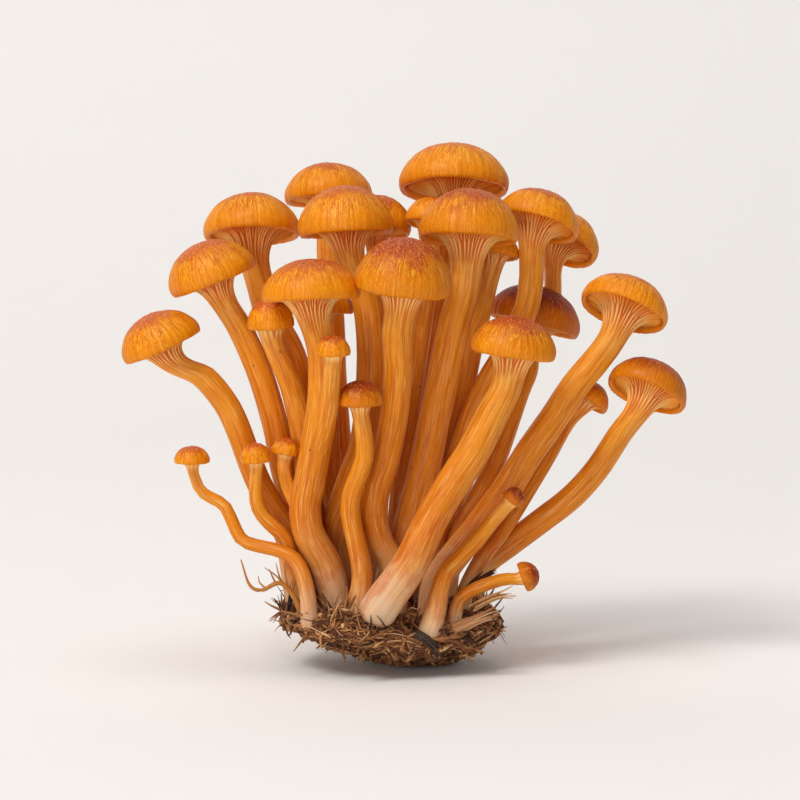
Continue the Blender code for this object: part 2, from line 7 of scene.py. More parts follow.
import bpy
import numpy as np
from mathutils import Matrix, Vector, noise


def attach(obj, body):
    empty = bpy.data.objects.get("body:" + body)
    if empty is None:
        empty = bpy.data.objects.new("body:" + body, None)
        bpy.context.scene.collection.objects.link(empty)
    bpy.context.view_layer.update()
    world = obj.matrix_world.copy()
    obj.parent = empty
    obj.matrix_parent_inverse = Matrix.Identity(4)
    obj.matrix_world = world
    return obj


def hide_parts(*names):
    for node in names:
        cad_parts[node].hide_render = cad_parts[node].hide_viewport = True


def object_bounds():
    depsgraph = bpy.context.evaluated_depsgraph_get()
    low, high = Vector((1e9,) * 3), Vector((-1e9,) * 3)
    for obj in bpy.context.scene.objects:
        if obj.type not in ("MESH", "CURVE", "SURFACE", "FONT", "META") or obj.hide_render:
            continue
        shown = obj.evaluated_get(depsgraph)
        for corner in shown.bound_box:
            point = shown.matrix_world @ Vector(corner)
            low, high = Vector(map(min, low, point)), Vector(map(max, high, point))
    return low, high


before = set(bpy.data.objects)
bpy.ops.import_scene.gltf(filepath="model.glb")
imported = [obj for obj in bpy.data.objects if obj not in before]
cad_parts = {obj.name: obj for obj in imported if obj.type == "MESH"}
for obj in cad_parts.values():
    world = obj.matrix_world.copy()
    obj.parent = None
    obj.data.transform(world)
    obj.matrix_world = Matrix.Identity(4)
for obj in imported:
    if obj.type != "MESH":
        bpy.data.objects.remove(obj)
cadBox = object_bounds()  # the solids' own box, before anything is added
mm = 0.001  # in metres, for the materials

# The front view in which the stems' lines are read: across, up, and depth behind the origin
viewing = {
    "distance": 900.0, "down": math.radians(5), "centre": (-0.9, 78.3), "lens": 135.0, "sensor": 36,
    "clipEnd": 20,  # metres
}
rise = np.array((0, math.sin(viewing["down"]), math.cos(viewing["down"])))
ahead = np.array((0, math.cos(viewing["down"]), -math.sin(viewing["down"])))
eye = np.array((viewing["centre"][0], 0, 0)) + rise * viewing["centre"][1] - ahead * viewing["distance"]

boxInset = 0.02  # the visual model ends this far inside the solids' box
boxLow = np.array(cadBox[0]) * 1000 + boxInset
boxHigh = np.array(cadBox[1]) * 1000 - boxInset


def linear(hexColour):
    channels = [int(hexColour[i : i + 2], 16) / 255 for i in (1, 3, 5)]
    return (*[c / 12.92 if c <= 0.04045 else ((c + 0.055) / 1.055) ** 2.4 for c in channels], 1)


def addNode(tree, kind, settings=None, links=None):
    node = tree.nodes.new("ShaderNode" + kind)
    for key, value in (settings or {}).items():
        if key == "stops":
            elements = node.color_ramp.elements
            while len(elements) < len(value):
                elements.new(0.5)
            for element, (position, colour) in zip(elements, value):
                element.position = position
                element.color = linear(colour)
        elif isinstance(key, int) or key in node.inputs:
            node.inputs[key].default_value = value
        else:
            setattr(node, key, value)
    for key, source in (links or {}).items():
        tree.links.new(source, node.inputs[key])
    return node.outputs


def attribute(tree, name):  # a mesh layer's vector
    return addNode(tree, "Attribute", {"attribute_name": name})[1]


def newMaterial(name):
    material = bpy.data.materials.new(name)
    material.use_nodes = True
    tree = material.node_tree
    return material, tree, tree.nodes["Principled BSDF"]


# In these, a value is a socket, and its id_data is the node tree that it belongs to


def blended(factor, first, second):  # each of the two is a hex colour or a socket
    settings, links = {"data_type": "RGBA"}, {0: factor}
    for socket, value in ((6, first), (7, second)):
        if isinstance(value, str):
            settings[socket] = linear(value)
        else:
            links[socket] = value
    return addNode(factor.id_data, "Mix", settings, links)[2]


def between(value, low, high, toLow=0.0, toHigh=1.0):  # smooth step from one level to another
    settings = {"interpolation_type": "SMOOTHSTEP", "From Min": low, "From Max": high}
    settings.update({"To Min": toLow, "To Max": toHigh})
    return addNode(value.id_data, "MapRange", settings, {"Value": value})[0]


def worked(how, first, second):  # the second may be a number
    settings, links = {"operation": how}, {0: first}
    if isinstance(second, (int, float)):
        settings[1] = second
    else:
        links[1] = second
    return addNode(first.id_data, "Math", settings, links)[0]


def times(first, second):
    return worked("MULTIPLY", first, second)


def moved(value, pattern, amount):  # up and down by a pattern
    return worked("ADD", value, times(worked("SUBTRACT", pattern, 0.5), amount))


def softNoise(vector, size, detail, roughness=0.5):  # size is a patch's width, in the vector's unit
    settings = {"Scale": 1 / size, "Detail": detail, "Roughness": roughness}
    return addNode(vector.id_data, "TexNoise", settings, {"Vector": vector})[0]


def drawnOut(vector, wide, long, detail, roughness=0.5):  # noise in streaks along the vector's third way
    shrinking = {"operation": "DIVIDE", 1: (wide, wide, long)}
    shrunk = addNode(vector.id_data, "VectorMath", shrinking, {0: vector})[0]
    return softNoise(shrunk, 1, detail, roughness)


def ramp(value, stops):  # each stop is a position and a hex colour
    return addNode(value.id_data, "ValToRGB", {"stops": stops}, {0: value})[0]


def bumped(height, strength, distance):
    settings = {"Strength": strength, "Distance": distance}
    return addNode(height.id_data, "Bump", settings, {"Height": height})[0]


def setSurface(surface, values):  # each value is a constant or a socket
    for key, value in values.items():
        if isinstance(value, (int, float, tuple)):
            surface.inputs[key].default_value = value
        else:
            surface.id_data.links.new(value, surface.inputs[key])


# Shapes


def placed(across, up, depth):
    seen = np.array((across, 0, 0)) + rise * up
    return eye + (seen - eye) * (depth - eye[1]) / (seen[1] - eye[1])


def smoothLine(points, steps):  # evenly spread points on a smooth curve through these
    points = np.array(points, float)
    ends = np.vstack([2 * points[0] - points[1], points, 2 * points[-1] - points[-2]])
    t = np.arange(24)[:, None] / 24
    spans = [
        0.5 * (2 * b + (c - a) * t + (2 * a - 5 * b + 4 * c - d) * t**2 + (3 * b - a - 3 * c + d) * t**3)
        for a, b, c, d in zip(ends, ends[1:], ends[2:], ends[3:])
    ]
    dense = np.vstack(spans + [points[-1:]])
    lengths = np.concatenate([[0], np.cumsum(np.linalg.norm(np.diff(dense, axis=0), axis=1))])
    wanted = np.linspace(0, lengths[-1], steps + 1)
    return np.stack([np.interp(wanted, lengths, dense[:, k]) for k in range(3)], axis=1), lengths[-1]


def unit(vector):
    return vector / max(np.linalg.norm(vector), 1e-9)


def sidesOf(normal):  # two ways across a ring: towards the front, and to the right of it
    front = np.array((0, -1.0, 0))
    side = unit(front - normal * front.dot(normal))
    return side, np.cross(normal, side)


def noiseAt(points, shift=0.0):
    flat = (np.asarray(points, float) + shift).reshape(-1, 3).tolist()
    return np.array([noise.noise(p) for p in flat]).reshape(np.shape(points)[:-1])


def columns(*values):  # a row for each point, where a lone number stands for all of them
    return np.stack(np.broadcast_arrays(*values), 1)


def step(value, low, high):  # smooth step from 0 at low to 1 at high
    t = np.clip((value - low) / (high - low), 0, 1)
    return t * t * (3 - 2 * t)


def joinRows(rows, startTip, endTip):
    # Rows of points become one closed surface. A row has as many points as the one before, or a multiple.
    points = [np.vstack([np.concatenate([startTip, rows[0].mean(0)[3:]])])]
    faces = []
    first = 1
    count = len(rows[0])
    ring = np.arange(count)
    faces += np.stack([np.zeros(count, int), first + (ring + 1) % count, first + ring], 1).tolist()
    for low, high in zip(rows, rows[1:]):
        points.append(low)
        a, b = first, first + len(low)
        factor = len(high) // len(low)
        ring = np.arange(len(low))
        following = (ring + 1) % len(low)
        if factor == 1:
            faces += np.stack([a + ring, a + following, b + following, b + ring], 1).tolist()
        else:
            half = factor // 2
            for k in range(factor):
                corner = ring if k < half else following
                right = (ring * factor + k + 1) % len(high)
                faces += np.stack([a + corner, b + right, b + ring * factor + k], 1).tolist()
            faces += np.stack([a + ring, a + following, b + ring * factor + half], 1).tolist()
        first = b
    count = len(rows[-1])
    points.append(rows[-1])
    points.append(np.vstack([np.concatenate([endTip, rows[-1].mean(0)[3:]])]))
    ring = np.arange(count)
    last = np.full(count, first + count)
    faces += np.stack([first + ring, first + (ring + 1) % count, last], 1).tolist()
    return np.vstack(points), faces


def newObject(name, data):
    thing = bpy.data.objects.new(name, data)
    bpy.context.scene.collection.objects.link(thing)
    return thing


def newMesh(name, points, faces, material):
    mesh = bpy.data.meshes.new(name)
    mesh.from_pydata(points, [], faces)
    mesh.shade_smooth()
    mesh.materials.append(material)
    return mesh


def addPiece(name, points, faces, layers, material, node):
    # The first three columns of points are the place. Each further three are one layer for the material.
    place = np.clip(points[:, :3], boxLow, boxHigh) / 1000
    mesh = newMesh(name, place.tolist(), faces, material)
    for k, layer in enumerate(layers):
        values = mesh.attributes.new(layer, "FLOAT_VECTOR", "POINT")
        values.data.foreach_set("vector", points[:, 3 + 3 * k : 6 + 3 * k].astype(np.float32).ravel())
    piece = newObject(name, mesh)
    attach(piece, "root")
    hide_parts(node)


# Mushrooms: cap (width, height), its lean right and back in degrees, how dark its crown is,
# stem widths at base, middle and neck, the stem's line from base to rim, and what a branch has grown from
mushrooms = {
    "01": {"cap": (24.6, 9.9), "lean": (-24, -3), "crown": 0.40, "widths": (8.6, 7.6, 7.2), "line": [
        (-30.5, 13.5, -5.5), (-32.8, 28, -5.5), (-35, 38.5, -5.5), (-43.5, 54, -6.5), (-50, 71, -9),
        (-54, 78.5, -10), (-60, 85.5, -11), (-68, 91.5, -12), (-72.3, 94.8, -12),
    ]},
    "02": {"cap": (26.4, 11.1), "lean": (-21, -3), "crown": 0.42, "widths": (8.2, 7.8, 7.4), "line": [
        (-30.5, 16, 5.5), (-31.3, 28, 5.5), (-31, 42, 3), (-35.5, 56, 0), (-38, 69.5, -1),
        (-42.3, 84.5, -2), (-48.3, 98.5, -3), (-54, 109, -4), (-57, 115, -4),
    ]},
    "03": {"cap": (29.0, 12.2), "lean": (-2, 15), "crown": 0.38, "widths": (8.4, 8.4, 8.6), "line": [
        (-23.9, 15, 12.3), (-25.5, 30, 12.5), (-28, 54, 12), (-29, 69, 13), (-30, 81, 14), (-34, 93.5, 15),
        (-40.5, 105, 16), (-43.5, 117, 17), (-45.3, 128.4, 17),
    ]},
    "04": {"cap": (27.0, 10.8), "lean": (-3, 10), "crown": 0.55, "widths": (7.4, 7.2, 7.2), "line": [
        (-15, 17, 19), (-15, 30, 22), (-17.5, 50, 26), (-19.5, 72, 29), (-20.5, 87, 31), (-21, 101, 33),
        (-22.5, 123, 37), (-22.5, 139, 38),
    ]},
    "05": {"cap": (28.2, 13.2), "lean": (-3, 6), "crown": 0.48, "widths": (8.6, 8.4, 8.6), "line": [
        (-16.5, 11, 2), (-18, 25, 2), (-20.5, 35, 1), (-19.5, 42.5, -2), (-15.5, 54.5, -5),
        (-12.3, 63.3, -5), (-10.5, 75, -4), (-9.6, 93, -3), (-11, 108, -2), (-14.5, 119, 0),
        (-17.1, 129.3, 0),
    ]},
    "06": {"cap": (20.4, 9.6), "lean": (13, 14), "crown": 0.62, "widths": (6.2, 6.2, 6.2), "line": [
        (-9, 13, 16), (-8.5, 30, 17), (-8, 60, 19), (-7, 85, 19), (-6.5, 105, 20), (-7.6, 130.3, 22),
    ]},
    "07": {"cap": (28.8, 11.1), "lean": (-2.5, 4), "crown": 0.52, "widths": (9.6, 9.2, 8.6), "line": [
        (-19.5, 11, -9), (-20.5, 20, -10), (-23, 29, -13), (-28, 38, -16), (-29.4, 46, -17),
        (-27.9, 54.5, -18), (-25.8, 66.3, -19), (-24, 79, -20), (-24, 92, -21), (-25.5, 103, -22),
        (-27.6, 109.2, -22),
    ]},
    "08": {"cap": (28.6, 14.0), "lean": (6, -6), "crown": 0.78, "widths": (7.4, 8.6, 8.8), "line": [
        (-2, 11, -9), (-3.3, 28.8, -10), (-6.5, 35, -11), (-8.5, 41, -12), (-8.7, 47, -12.5),
        (-7.8, 53, -13), (-5.4, 60.5, -14), (-2.8, 73, -15), (-1.5, 87, -17), (-1.8, 99.5, -21),
        (0.0, 112.6, -25),
    ]},
    "09": {"cap": (33.8, 13.2), "lean": (1, 17), "crown": 0.22, "widths": (7.6, 7.6, 7.8), "line": [
        (-1, 14, 17), (-1, 25, 17.5), (-1, 38, 17.5), (1.5, 54.5, 18), (4, 66.5, 19), (5.1, 78.5, 20),
        (6.5, 92, 21), (9.9, 111.5, 23), (11.4, 123.5, 24.5), (13.6, 136, 26), (15.3, 142.2, 26),
    ]},
    "10": {"cap": (29.8, 14.1), "lean": (3, 11), "crown": 0.74, "widths": (9.6, 9.8, 9.2), "line": [
        (-6, 11, 0), (-3.5, 25, 0), (-0.3, 33.5, -1), (3.9, 48.5, -2), (6.3, 57.5, -2.5), (9.9, 75.5, -3),
        (12, 84.5, -3.5), (15.9, 102.5, -5), (18.3, 111.5, -6), (19.6, 127.5, -6),
    ]},
    "11": {"cap": (26.2, 10.8), "lean": (15.5, 20), "crown": 0.62, "widths": (7.6, 7.5, 7.5), "line": [
        (6, 11, 1), (7.5, 30, 2), (9.6, 42.5, 3), (14, 54.5, 4), (17.7, 65, 4.5), (21.6, 75.5, 5),
        (26, 84.5, 6), (31.5, 93.5, 7), (35.7, 102.5, 8.5), (38, 110, 10), (39.9, 130.8, 14),
    ]},
    "12": {"cap": (25.0, 10.4), "lean": (25, 27), "crown": 0.30, "widths": (6.0, 5.6, 5.6), "line": [
        (8, 13.5, 17.5), (11, 30, 19), (18.5, 54, 24), (26, 69, 31), (33.5, 83, 38), (41, 96, 45),
        (44.7, 109, 47), (46.8, 125.0, 47.5),
    ]},
    # its high crown value also paints the shade that this cap lies in, under the others
    "13": {"cap": (29.0, 11.6), "lean": (16, 8), "crown": 1.00, "widths": (6.6, 6.4, 6.4), "line": [
        (13, 11, 4), (13.5, 25, 4), (16.5, 38, 6), (21.6, 47, 8.5), (26.1, 56, 11.5), (29.1, 63.5, 14),
        (32.1, 72.5, 17.5), (35.1, 81.5, 21.5), (38.4, 90, 25.5), (39, 101.4, 27),
    ]},
    "14": {"cap": (24.8, 10.3), "lean": (8, -2), "crown": 0.72, "widths": (11.4, 9.8, 8.6), "line": [
        (-7.4, 15.1, -24.8), (-5, 18.7, -26), (-0.8, 24.4, -26.5), (3, 30.5, -26), (8.6, 42.5, -25),
        (14.7, 53, -24), (21.2, 63, -23), (26.7, 74, -22), (30.5, 82, -22), (33.0, 92.9, -22),
    ]},
    "15": {"cap": (27.0, 10.2), "lean": (21.5, 23), "crown": 0.55, "widths": (8.8, 8.8, 8.2), "line": [
        (8.5, 11, -13), (9.6, 21.5, -12.5), (12.6, 27.5, -11.5), (17.1, 33.5, -10), (22.5, 40, -8),
        (30.9, 51.2, -6), (38, 62.6, -4), (45, 72.6, -2), (51.6, 82.6, 0), (58.5, 91, 1), (62.9, 98, 2),
        (66.3, 105.2, 2),
    ]},
    # its high crown value also paints shade, as its dome faces away from the light
    "16": {"cap": (24.4, 10.0), "lean": (24, 24), "crown": 0.90, "widths": (7.2, 7.4, 7.2), "line": [
        (20, 12, 6), (20.8, 20, 6), (24, 28.5, 6), (32, 35, 5), (41.6, 42.2, 3), (50.6, 49.2, 2),
        (57.8, 57.1, 2), (63.2, 65.2, 2), (68.2, 73, 2), (73.1, 80.5, 2),
    ]},
    "17": {"cap": (13.6, 6.0), "lean": (35, 12), "crown": 0.70, "widths": (5.2, 5.0, 4.8), "line": [
        (17, 11, -6), (18.5, 20, -6), (21.6, 27, -5), (25.2, 33, -4), (29.1, 38, -2), (33.6, 45, 1),
        (37.2, 51, 3), (43.2, 61, 7), (49.5, 72, 11), (55.2, 78.3, 12),
    ]},
    "18": {"cap": (15.4, 8.0), "lean": (10, 14), "crown": 0.15, "widths": (5.8, 5.8, 6.0), "line": [
        (-2.5, 11, 9), (-2.5, 30, 9), (-1, 50, 9.5), (1.5, 70, 10), (4, 88, 10.5), (6.5, 105, 11),
        (8, 118, 12), (8.2, 131.4, 13),
    ]},
    "19": {"cap": (13.8, 8.0), "lean": (-4, -5), "crown": 0.62, "widths": (7.0, 7.0, 7.0), "line": [
        (-25, 13.5, 0.5), (-25.3, 27, -1), (-27.2, 38, -4.5), (-28.5, 52, -7), (-30, 66.5, -6),
        (-32.7, 80, -6), (-35.1, 87, -7), (-37.8, 93.5, -8), (-39.7, 100.8, -9),
    ]},
    "20": {"cap": (20.4, 8.4), "lean": (0, 4), "crown": 0.50, "widths": (6.6, 6.6, 6.6), "line": [
        (-16.5, 13, 10.5), (-18, 30, 10.5), (-21, 50, 8), (-22.5, 70, 6), (-23.5, 85, 4), (-25, 105, 3),
    ]},
    "21": {"cap": (9.9, 5.1), "lean": (0, -4), "crown": 0.60, "widths": (6.4, 5.4, 5.0),
           "grownFrom": "stem_07", "line": [
        (-25.5, 62, -19), (-23.3, 70, -23.5), (-21.9, 78, -27), (-21.3, 86, -29.5), (-21, 92.4, -30.5),
    ]},
    "22": {"cap": (13.2, 6.3), "lean": (0, -4), "crown": 0.85, "widths": (7.8, 5.6, 4.8), "line": [
        (-13.5, 9.5, -17), (-13.3, 17, -18), (-12.3, 23, -18.5), (-12.6, 29, -19), (-15, 39.5, -20),
        (-15.9, 45.5, -20.5), (-15, 51.5, -21), (-12.6, 57.5, -22), (-11.4, 63.5, -22.5),
        (-12.9, 77.7, -24),
    ]},
    "23": {"cap": (9.0, 5.1), "lean": (-3, -3), "crown": 0.50, "widths": (5.4, 4.4, 3.4), "line": [
        (-27.5, 15, -12.6), (-33, 28, -13.5), (-35, 36, -13.5), (-38.5, 40, -14.5), (-42, 43.5, -15),
        (-44.1, 48.5, -16), (-44.1, 60.3, -17),
    ]},
    "24": {"cap": (8.7, 4.2), "lean": (8, -3), "crown": 0.50, "widths": (4.6, 4.2, 4.0),
           "grownFrom": "stem_07", "line": [
        (-29.5, 41, -17), (-32, 47, -16), (-34.3, 52, -14), (-35.7, 57.5, -13), (-35.1, 62.7, -13),
    ]},
    "25": {"cap": (10.5, 4.5), "lean": (0, -3), "crown": 0.45, "widths": (5.4, 3.9, 3.1), "line": [
        (-28, 11, -19), (-28.5, 19, -20), (-30, 26, -20), (-32.4, 30.5, -19), (-37, 33, -18),
        (-45.3, 35, -16), (-48.9, 37, -15.5), (-52.2, 44, -14.5), (-54.3, 47.2, -14), (-60.9, 51.4, -13.5),
        (-63.3, 60, -13),
    ]},
    "26": {"cap": (6.8, 4.0), "lean": (40, -5), "crown": 0.95, "widths": (7.4, 4.8, 3.8), "line": [
        (8.1, 8.5, -22), (9.9, 15.5, -22), (11.1, 21.5, -21.5), (13.2, 27, -20), (17.1, 31, -18.5),
        (21.6, 35.5, -17), (26.1, 41, -16), (32.7, 48.3, -15.5),
    ]},
    "27": {"cap": (8.8, 4.6), "lean": (69, -3), "crown": 0.90, "widths": (4.6, 3.9, 3.4), "line": [
        (15, 10.5, -16.5), (16.5, 17.6, -16), (20, 20.8, -15.5), (25.5, 23.2, -15), (31, 24.7, -14.5),
        (36.3, 25.2, -14),
    ]},
    "28": {"cap": (16.0, 6.5), "lean": (8, 12), "crown": 0.35, "widths": (7.6, 7.6, 6.8), "line": [
        (6, 11, 9), (7.5, 30, 10.5), (9.5, 45, 12), (12.5, 60, 12), (17.1, 78.5, 12), (20.7, 96.5, 12),
        (23.1, 105.5, 13), (27, 122, 15),
    ]},
}


def capAxis(lean):
    right, back = math.radians(lean[0]), math.radians(lean[1])
    return np.array((math.sin(right) * math.cos(back), math.sin(back), math.cos(right) * math.cos(back)))


def drawn(draw, count, low, high):
    return np.array([draw.uniform(low, high) for _ in range(count)])


# Stems with their gills

stem = {
    "samples": 800,  # points on a stem's line
    "rowStep": 2.4,  # spacing of the rings up the stem
    "oval": 0.04,  # how far a stem is from round, as a share of its radius
    "grooves": 0.012,  # depth of the lengthwise grooves, as a share of its radius
    "roundEnd": 0.4,  # length of the rounded foot, as a share of its width
    "ontoAxis": 1.5,  # a stem's centre moves onto its cap's axis over this many gill drops
    "turn": 2.5,  # and it turns towards that axis over this many
}
gill = {
    "edge": 0.865,  # share of the cap's radius that they reach
    "drop": 0.85,  # how far down the neck they run, in cap radii
    "runOut": (0.7, 1.15),  # where each groove has run out on the neck, in drops
    "allOut": 1.2,  # where the last of them has
    "shortTo": (0.14, 0.42),  # how far down the short gills run, in drops
    "tapers": 0.55,  # both are at full depth down to this share of their length
    "flare": 2.0,  # the higher, the later they spread out under the cap
    "spacing": 1.3,  # between neighbours under the cap's edge
    "astray": (-0.22, 0.22),  # from an even place, in pairs of gills
    "shade": (0.45, 1.2),  # how dark each groove looks
    "shadeRadius": 12,  # the grooves look paler under caps of a smaller radius
    "fewest": 9,  # long gills on the smallest cap
    "rows": 20,
    # depth of the grooves between them, from the cap's edge down the neck, for a cap of this radius
    "radius": 15,
    "depthAt": (0.0, 0.03, 0.12, 0.35, 0.8, 1.2),
    "depth": (0.8, 0.82, 0.75, 0.58, 0.42, 0.3),
    # the lid over them, inside the cap: share of their reach, height of its edge and of its middle
    "lid": (0.97, 1.6, 1.7),
    # cross-section from one long gill to the next, without and with a short gill between them
    "alone": (1, 0.82, 0.45, 0.12, 0, 0.12, 0.45, 0.82),
    "withShort": (1, 0.4, 0, 0.4, 0.92, 0.4, 0, 0.4),
}


def stemWidth(widths, share):
    base, middle, neck = widths
    bulge = np.sin(np.pi * share)
    return np.where(share < 0.5, base + (middle - base) * bulge, neck + (middle - neck) * bulge)


def gillPlan(radius, draw):  # where the gills stand round a stem, and how each differs
    edge = gill["edge"] * radius - 0.1
    count = max(gill["fewest"], round(math.pi * edge / gill["spacing"]))
    corners = len(gill["alone"])
    crests = 2 * np.pi * (np.arange(count) + drawn(draw, count, *gill["astray"])) / count
    following = np.append(crests[1:], crests[0] + 2 * np.pi)
    fine = (crests[:, None] + (following - crests)[:, None] * np.arange(corners) / corners).ravel()
    runOut = drawn(draw, count, *gill["runOut"])
    shortTo = drawn(draw, count, *gill["shortTo"])
    shade = np.repeat(drawn(draw, count, *gill["shade"]), corners)
    shade = shade * min(1, radius / gill["shadeRadius"])
    angles = {"fine": fine, "coarse": fine[::4]}
    return {"edge": edge, "runOut": runOut, "shortTo": shortTo, "shade": shade, **angles}


def grooveShare(plan, share):  # 0 on a gill and 1 in the middle of a groove, this many drops down the neck
    short = step(-share, -plan["shortTo"], -plan["shortTo"] * gill["tapers"])[:, None]
    section = np.array(gill["alone"]) * (1 - short) + np.array(gill["withShort"]) * short
    fade = step(-share, -plan["runOut"], -plan["runOut"] * gill["tapers"])[:, None]
    return ((1 - section) * fade).ravel()


def roundedFoot(base, onward, long):  # the rings that round off a stem's lower end, and its tip
    centre = base[:, :3].mean(0)
    rows = []
    for degrees in (75, 60, 45, 30, 15):
        turn = math.radians(degrees)
        ring = base.copy()
        ring[:, :3] = centre + (base[:, :3] - centre) * math.cos(turn) - onward * long * math.sin(turn)
        rows.append(ring)
    return rows, centre - onward * long


def stemShape(mushroom, draw):
    radius = mushroom["cap"][0] / 2
    axis = capAxis(mushroom["lean"])
    samples = stem["samples"]
    line, length = smoothLine([placed(*p) for p in mushroom["line"]], samples)
    drop = gill["drop"] * radius
    plan = gillPlan(radius, draw)
    seed = draw.uniform(0, 90)

    neck = gill["allOut"] * drop
    shaftEnd = length - neck
    along = list(np.linspace(0, shaftEnd, max(6, round(shaftEnd / stem["rowStep"]))))
    gillRows = np.arange(1, gill["rows"] + 1) / gill["rows"]
    along += list(length - neck * (1 - gillRows) ** 1.8)
    rows = []
    lastWide, lastAlong = math.inf, 0.0
    for s in along:
        below = length - s
        share = below / drop
        index = s / length * samples
        low = int(min(index, samples - 1))
        centre = line[low] + (line[low + 1] - line[low]) * (index - low)
        onward = unit(line[min(low + 8, samples)] - line[max(low - 7, 0)])
        offAxis = float(step(share, 0, stem["ontoAxis"]))
        centre = (line[-1] - axis * below) * (1 - offAxis) + centre * offAxis
        leanIn = np.clip(1 - share / stem["turn"], 0, 1)
        normal = unit(onward * (1 - leanIn) + axis * leanIn)
        side, other = sidesOf(normal)
        shaft = float(stemWidth(mushroom["widths"], np.float64(s / length))) / 2
        flare = (1 - math.sqrt(share)) ** gill["flare"] if share < 1 else 0.0
        wide = shaft + (plan["edge"] - shaft) * flare
        gilled = share < gill["allOut"] and s > shaftEnd + 0.01
        angles = plan["fine"] if gilled else plan["coarse"]
        cosine, sine = np.cos(angles), np.sin(angles)
        around = columns(cosine, sine, s * 0.05)
        uneven = noiseAt(around * (0.9, 0.9, 0.6), seed) * stem["oval"]
        grooves = noiseAt(around * (5.5, 5.5, 0.35), seed + 20) * stem["grooves"]
        reach = wide * (1 + (uneven + grooves) * (1 - flare))
        valley = grooveShare(plan, share) if gilled else np.zeros(len(angles))
        drawnIn = valley * (np.interp(share, gill["depthAt"], gill["depth"]) * radius / gill["radius"])
        steep = math.atan2(wide - lastWide, s - lastAlong) if wide > lastWide else 0.0
        lastWide, lastAlong = wide, s
        reach = reach - drawnIn * math.cos(steep)
        lift = drawnIn * math.sin(steep)
        place = centre + np.outer(cosine * reach, side) + np.outer(sine * reach, other)
        place = place + np.outer(lift, normal)
        grain = columns(cosine * shaft, sine * shaft, s) + (seed, 0, seed)
        # a branch has no foot, so its colours start half way up
        height = 0.5 + 0.5 * s / length if "grownFrom" in mushroom else s / length
        # the third column is how much painted shade a gill groove gets here
        zone = columns(height, flare, valley * (plan["shade"] if gilled else 1))
        rows.append(np.hstack([place, grain, zone]))

    # the foot is rounded, and the gills end against the inside of the cap
    foot, tip = roundedFoot(rows[0], unit(line[7] - line[0]), mushroom["widths"][0] * stem["roundEnd"])
    lidShare, lidEdge, lidMiddle = gill["lid"]
    lid = rows[-1].copy()
    lid[:, :3] = line[-1] + (lid[:, :3] - line[-1]) * lidShare + axis * lidEdge * radius / gill["radius"]
    return joinRows(foot + rows + [lid], tip, line[-1] + axis * lidMiddle * radius / gill["radius"])


# Caps

cap = {
    # outline from the middle of the underside, round the edge, to the crown: shares of radius and height
    "outline": [
        (0.0, 0.17), (0.45, 0.17), (0.80, 0.15), (0.862, 0.08), (0.872, -0.02), (0.895, -0.085),
        (0.935, -0.115), (0.97, -0.085), (0.992, -0.01), (1.0, 0.08), (0.993, 0.17), (0.965, 0.28),
        (0.92, 0.39), (0.86, 0.50), (0.78, 0.62), (0.68, 0.735), (0.56, 0.83), (0.43, 0.905), (0.30, 0.955),
        (0.17, 0.985), (0.06, 0.998),
    ],
    "large": 18,  # from this width on, a cap is large
    "rows": {True: 46, False: 34},  # large, small
    "crownHole": 0.03,  # the crown closes inside this share of the radius
    "spacing": 0.42,  # of the points round the edge
    "streak": 1.2,  # spacing of the radial ridges at the edge
    "ridge": 0.17,  # their height
    "ridgeEnd": (1.05, 1.14),  # they fade out between these shares of the radius, counted on round the edge
    "scale": 0.2,  # height of the flakes on the crown
    "lump": 0.03,  # how uneven the cap is, as a share of its radius
    "wave": 0.018,  # how far its edge rises and falls, as a share of its radius
}


def capShape(mushroom, draw):
    wide, height = mushroom["cap"]
    radius = wide / 2
    axis = capAxis(mushroom["lean"])
    side, other = sidesOf(axis)
    rim = placed(*mushroom["line"][-1])
    rowCount = cap["rows"][wide >= cap["large"]]
    outline = smoothLine([(r * radius, z * height, 0) for r, z in cap["outline"]], rowCount)[0][:-1]
    tangents = np.gradient(outline, axis=0)
    widest = int(np.argmax(outline[:, 0]))
    count = 8 * round(2 * math.pi * radius / cap["spacing"] / 8)
    angles = 2 * np.pi * np.arange(count) / count
    cosine, sine = np.cos(angles), np.sin(angles)
    seed = draw.uniform(0, 90)
    spokes = radius / cap["streak"]
    fadeFrom, fadeTo = cap["ridgeEnd"]
    rows = []
    for k, (r, z, _) in enumerate(outline):
        if r < cap["crownHole"] * radius:
            continue
        tangent = unit(tangents[k])
        outR, outZ = tangent[1], -tangent[0]
        u = r / radius if k >= widest else 2 - r / radius  # share of the radius, counted on round the edge
        spoke = columns(cosine * spokes, sine * spokes, u * 2.2) + (0, 0, seed)
        local = columns(cosine * r, sine * r, z) + seed
        low = columns(cosine * 1.3, sine * 1.3, u)
        ridged = 1 - abs(noiseAt(spoke * (1, 1, 0.6))) * 2
        relief = cap["ridge"] * ridged * float(step(u, 0.3, 0.75)) * float(step(-u, -fadeTo, -fadeFrom))
        relief += cap["scale"] * noiseAt(local * 0.85) * float(step(-u, -0.75, -0.35))
        relief += cap["lump"] * radius * (noiseAt(low, seed) - 0.35) * min(1.0, r / radius * 1.6)
        if u > fadeTo:
            relief = relief * 0
        wave = cap["wave"] * radius * noiseAt(low * (1.2, 1.2, 0), seed + 7) * min(u, 1) ** 3
        reach = r + relief * outR
        place = (
            rim + np.outer(cosine * reach, side) + np.outer(sine * reach, other)
            + np.outer(z + relief * outZ + wave, axis)
        )
        look = np.full((count, 3), (u, mushroom["crown"], 0))
        rows.append(np.hstack([place, spoke, local, look]))
    return joinRows(rows, rim + axis * outline[0][1], rim + axis * height)


# Materials


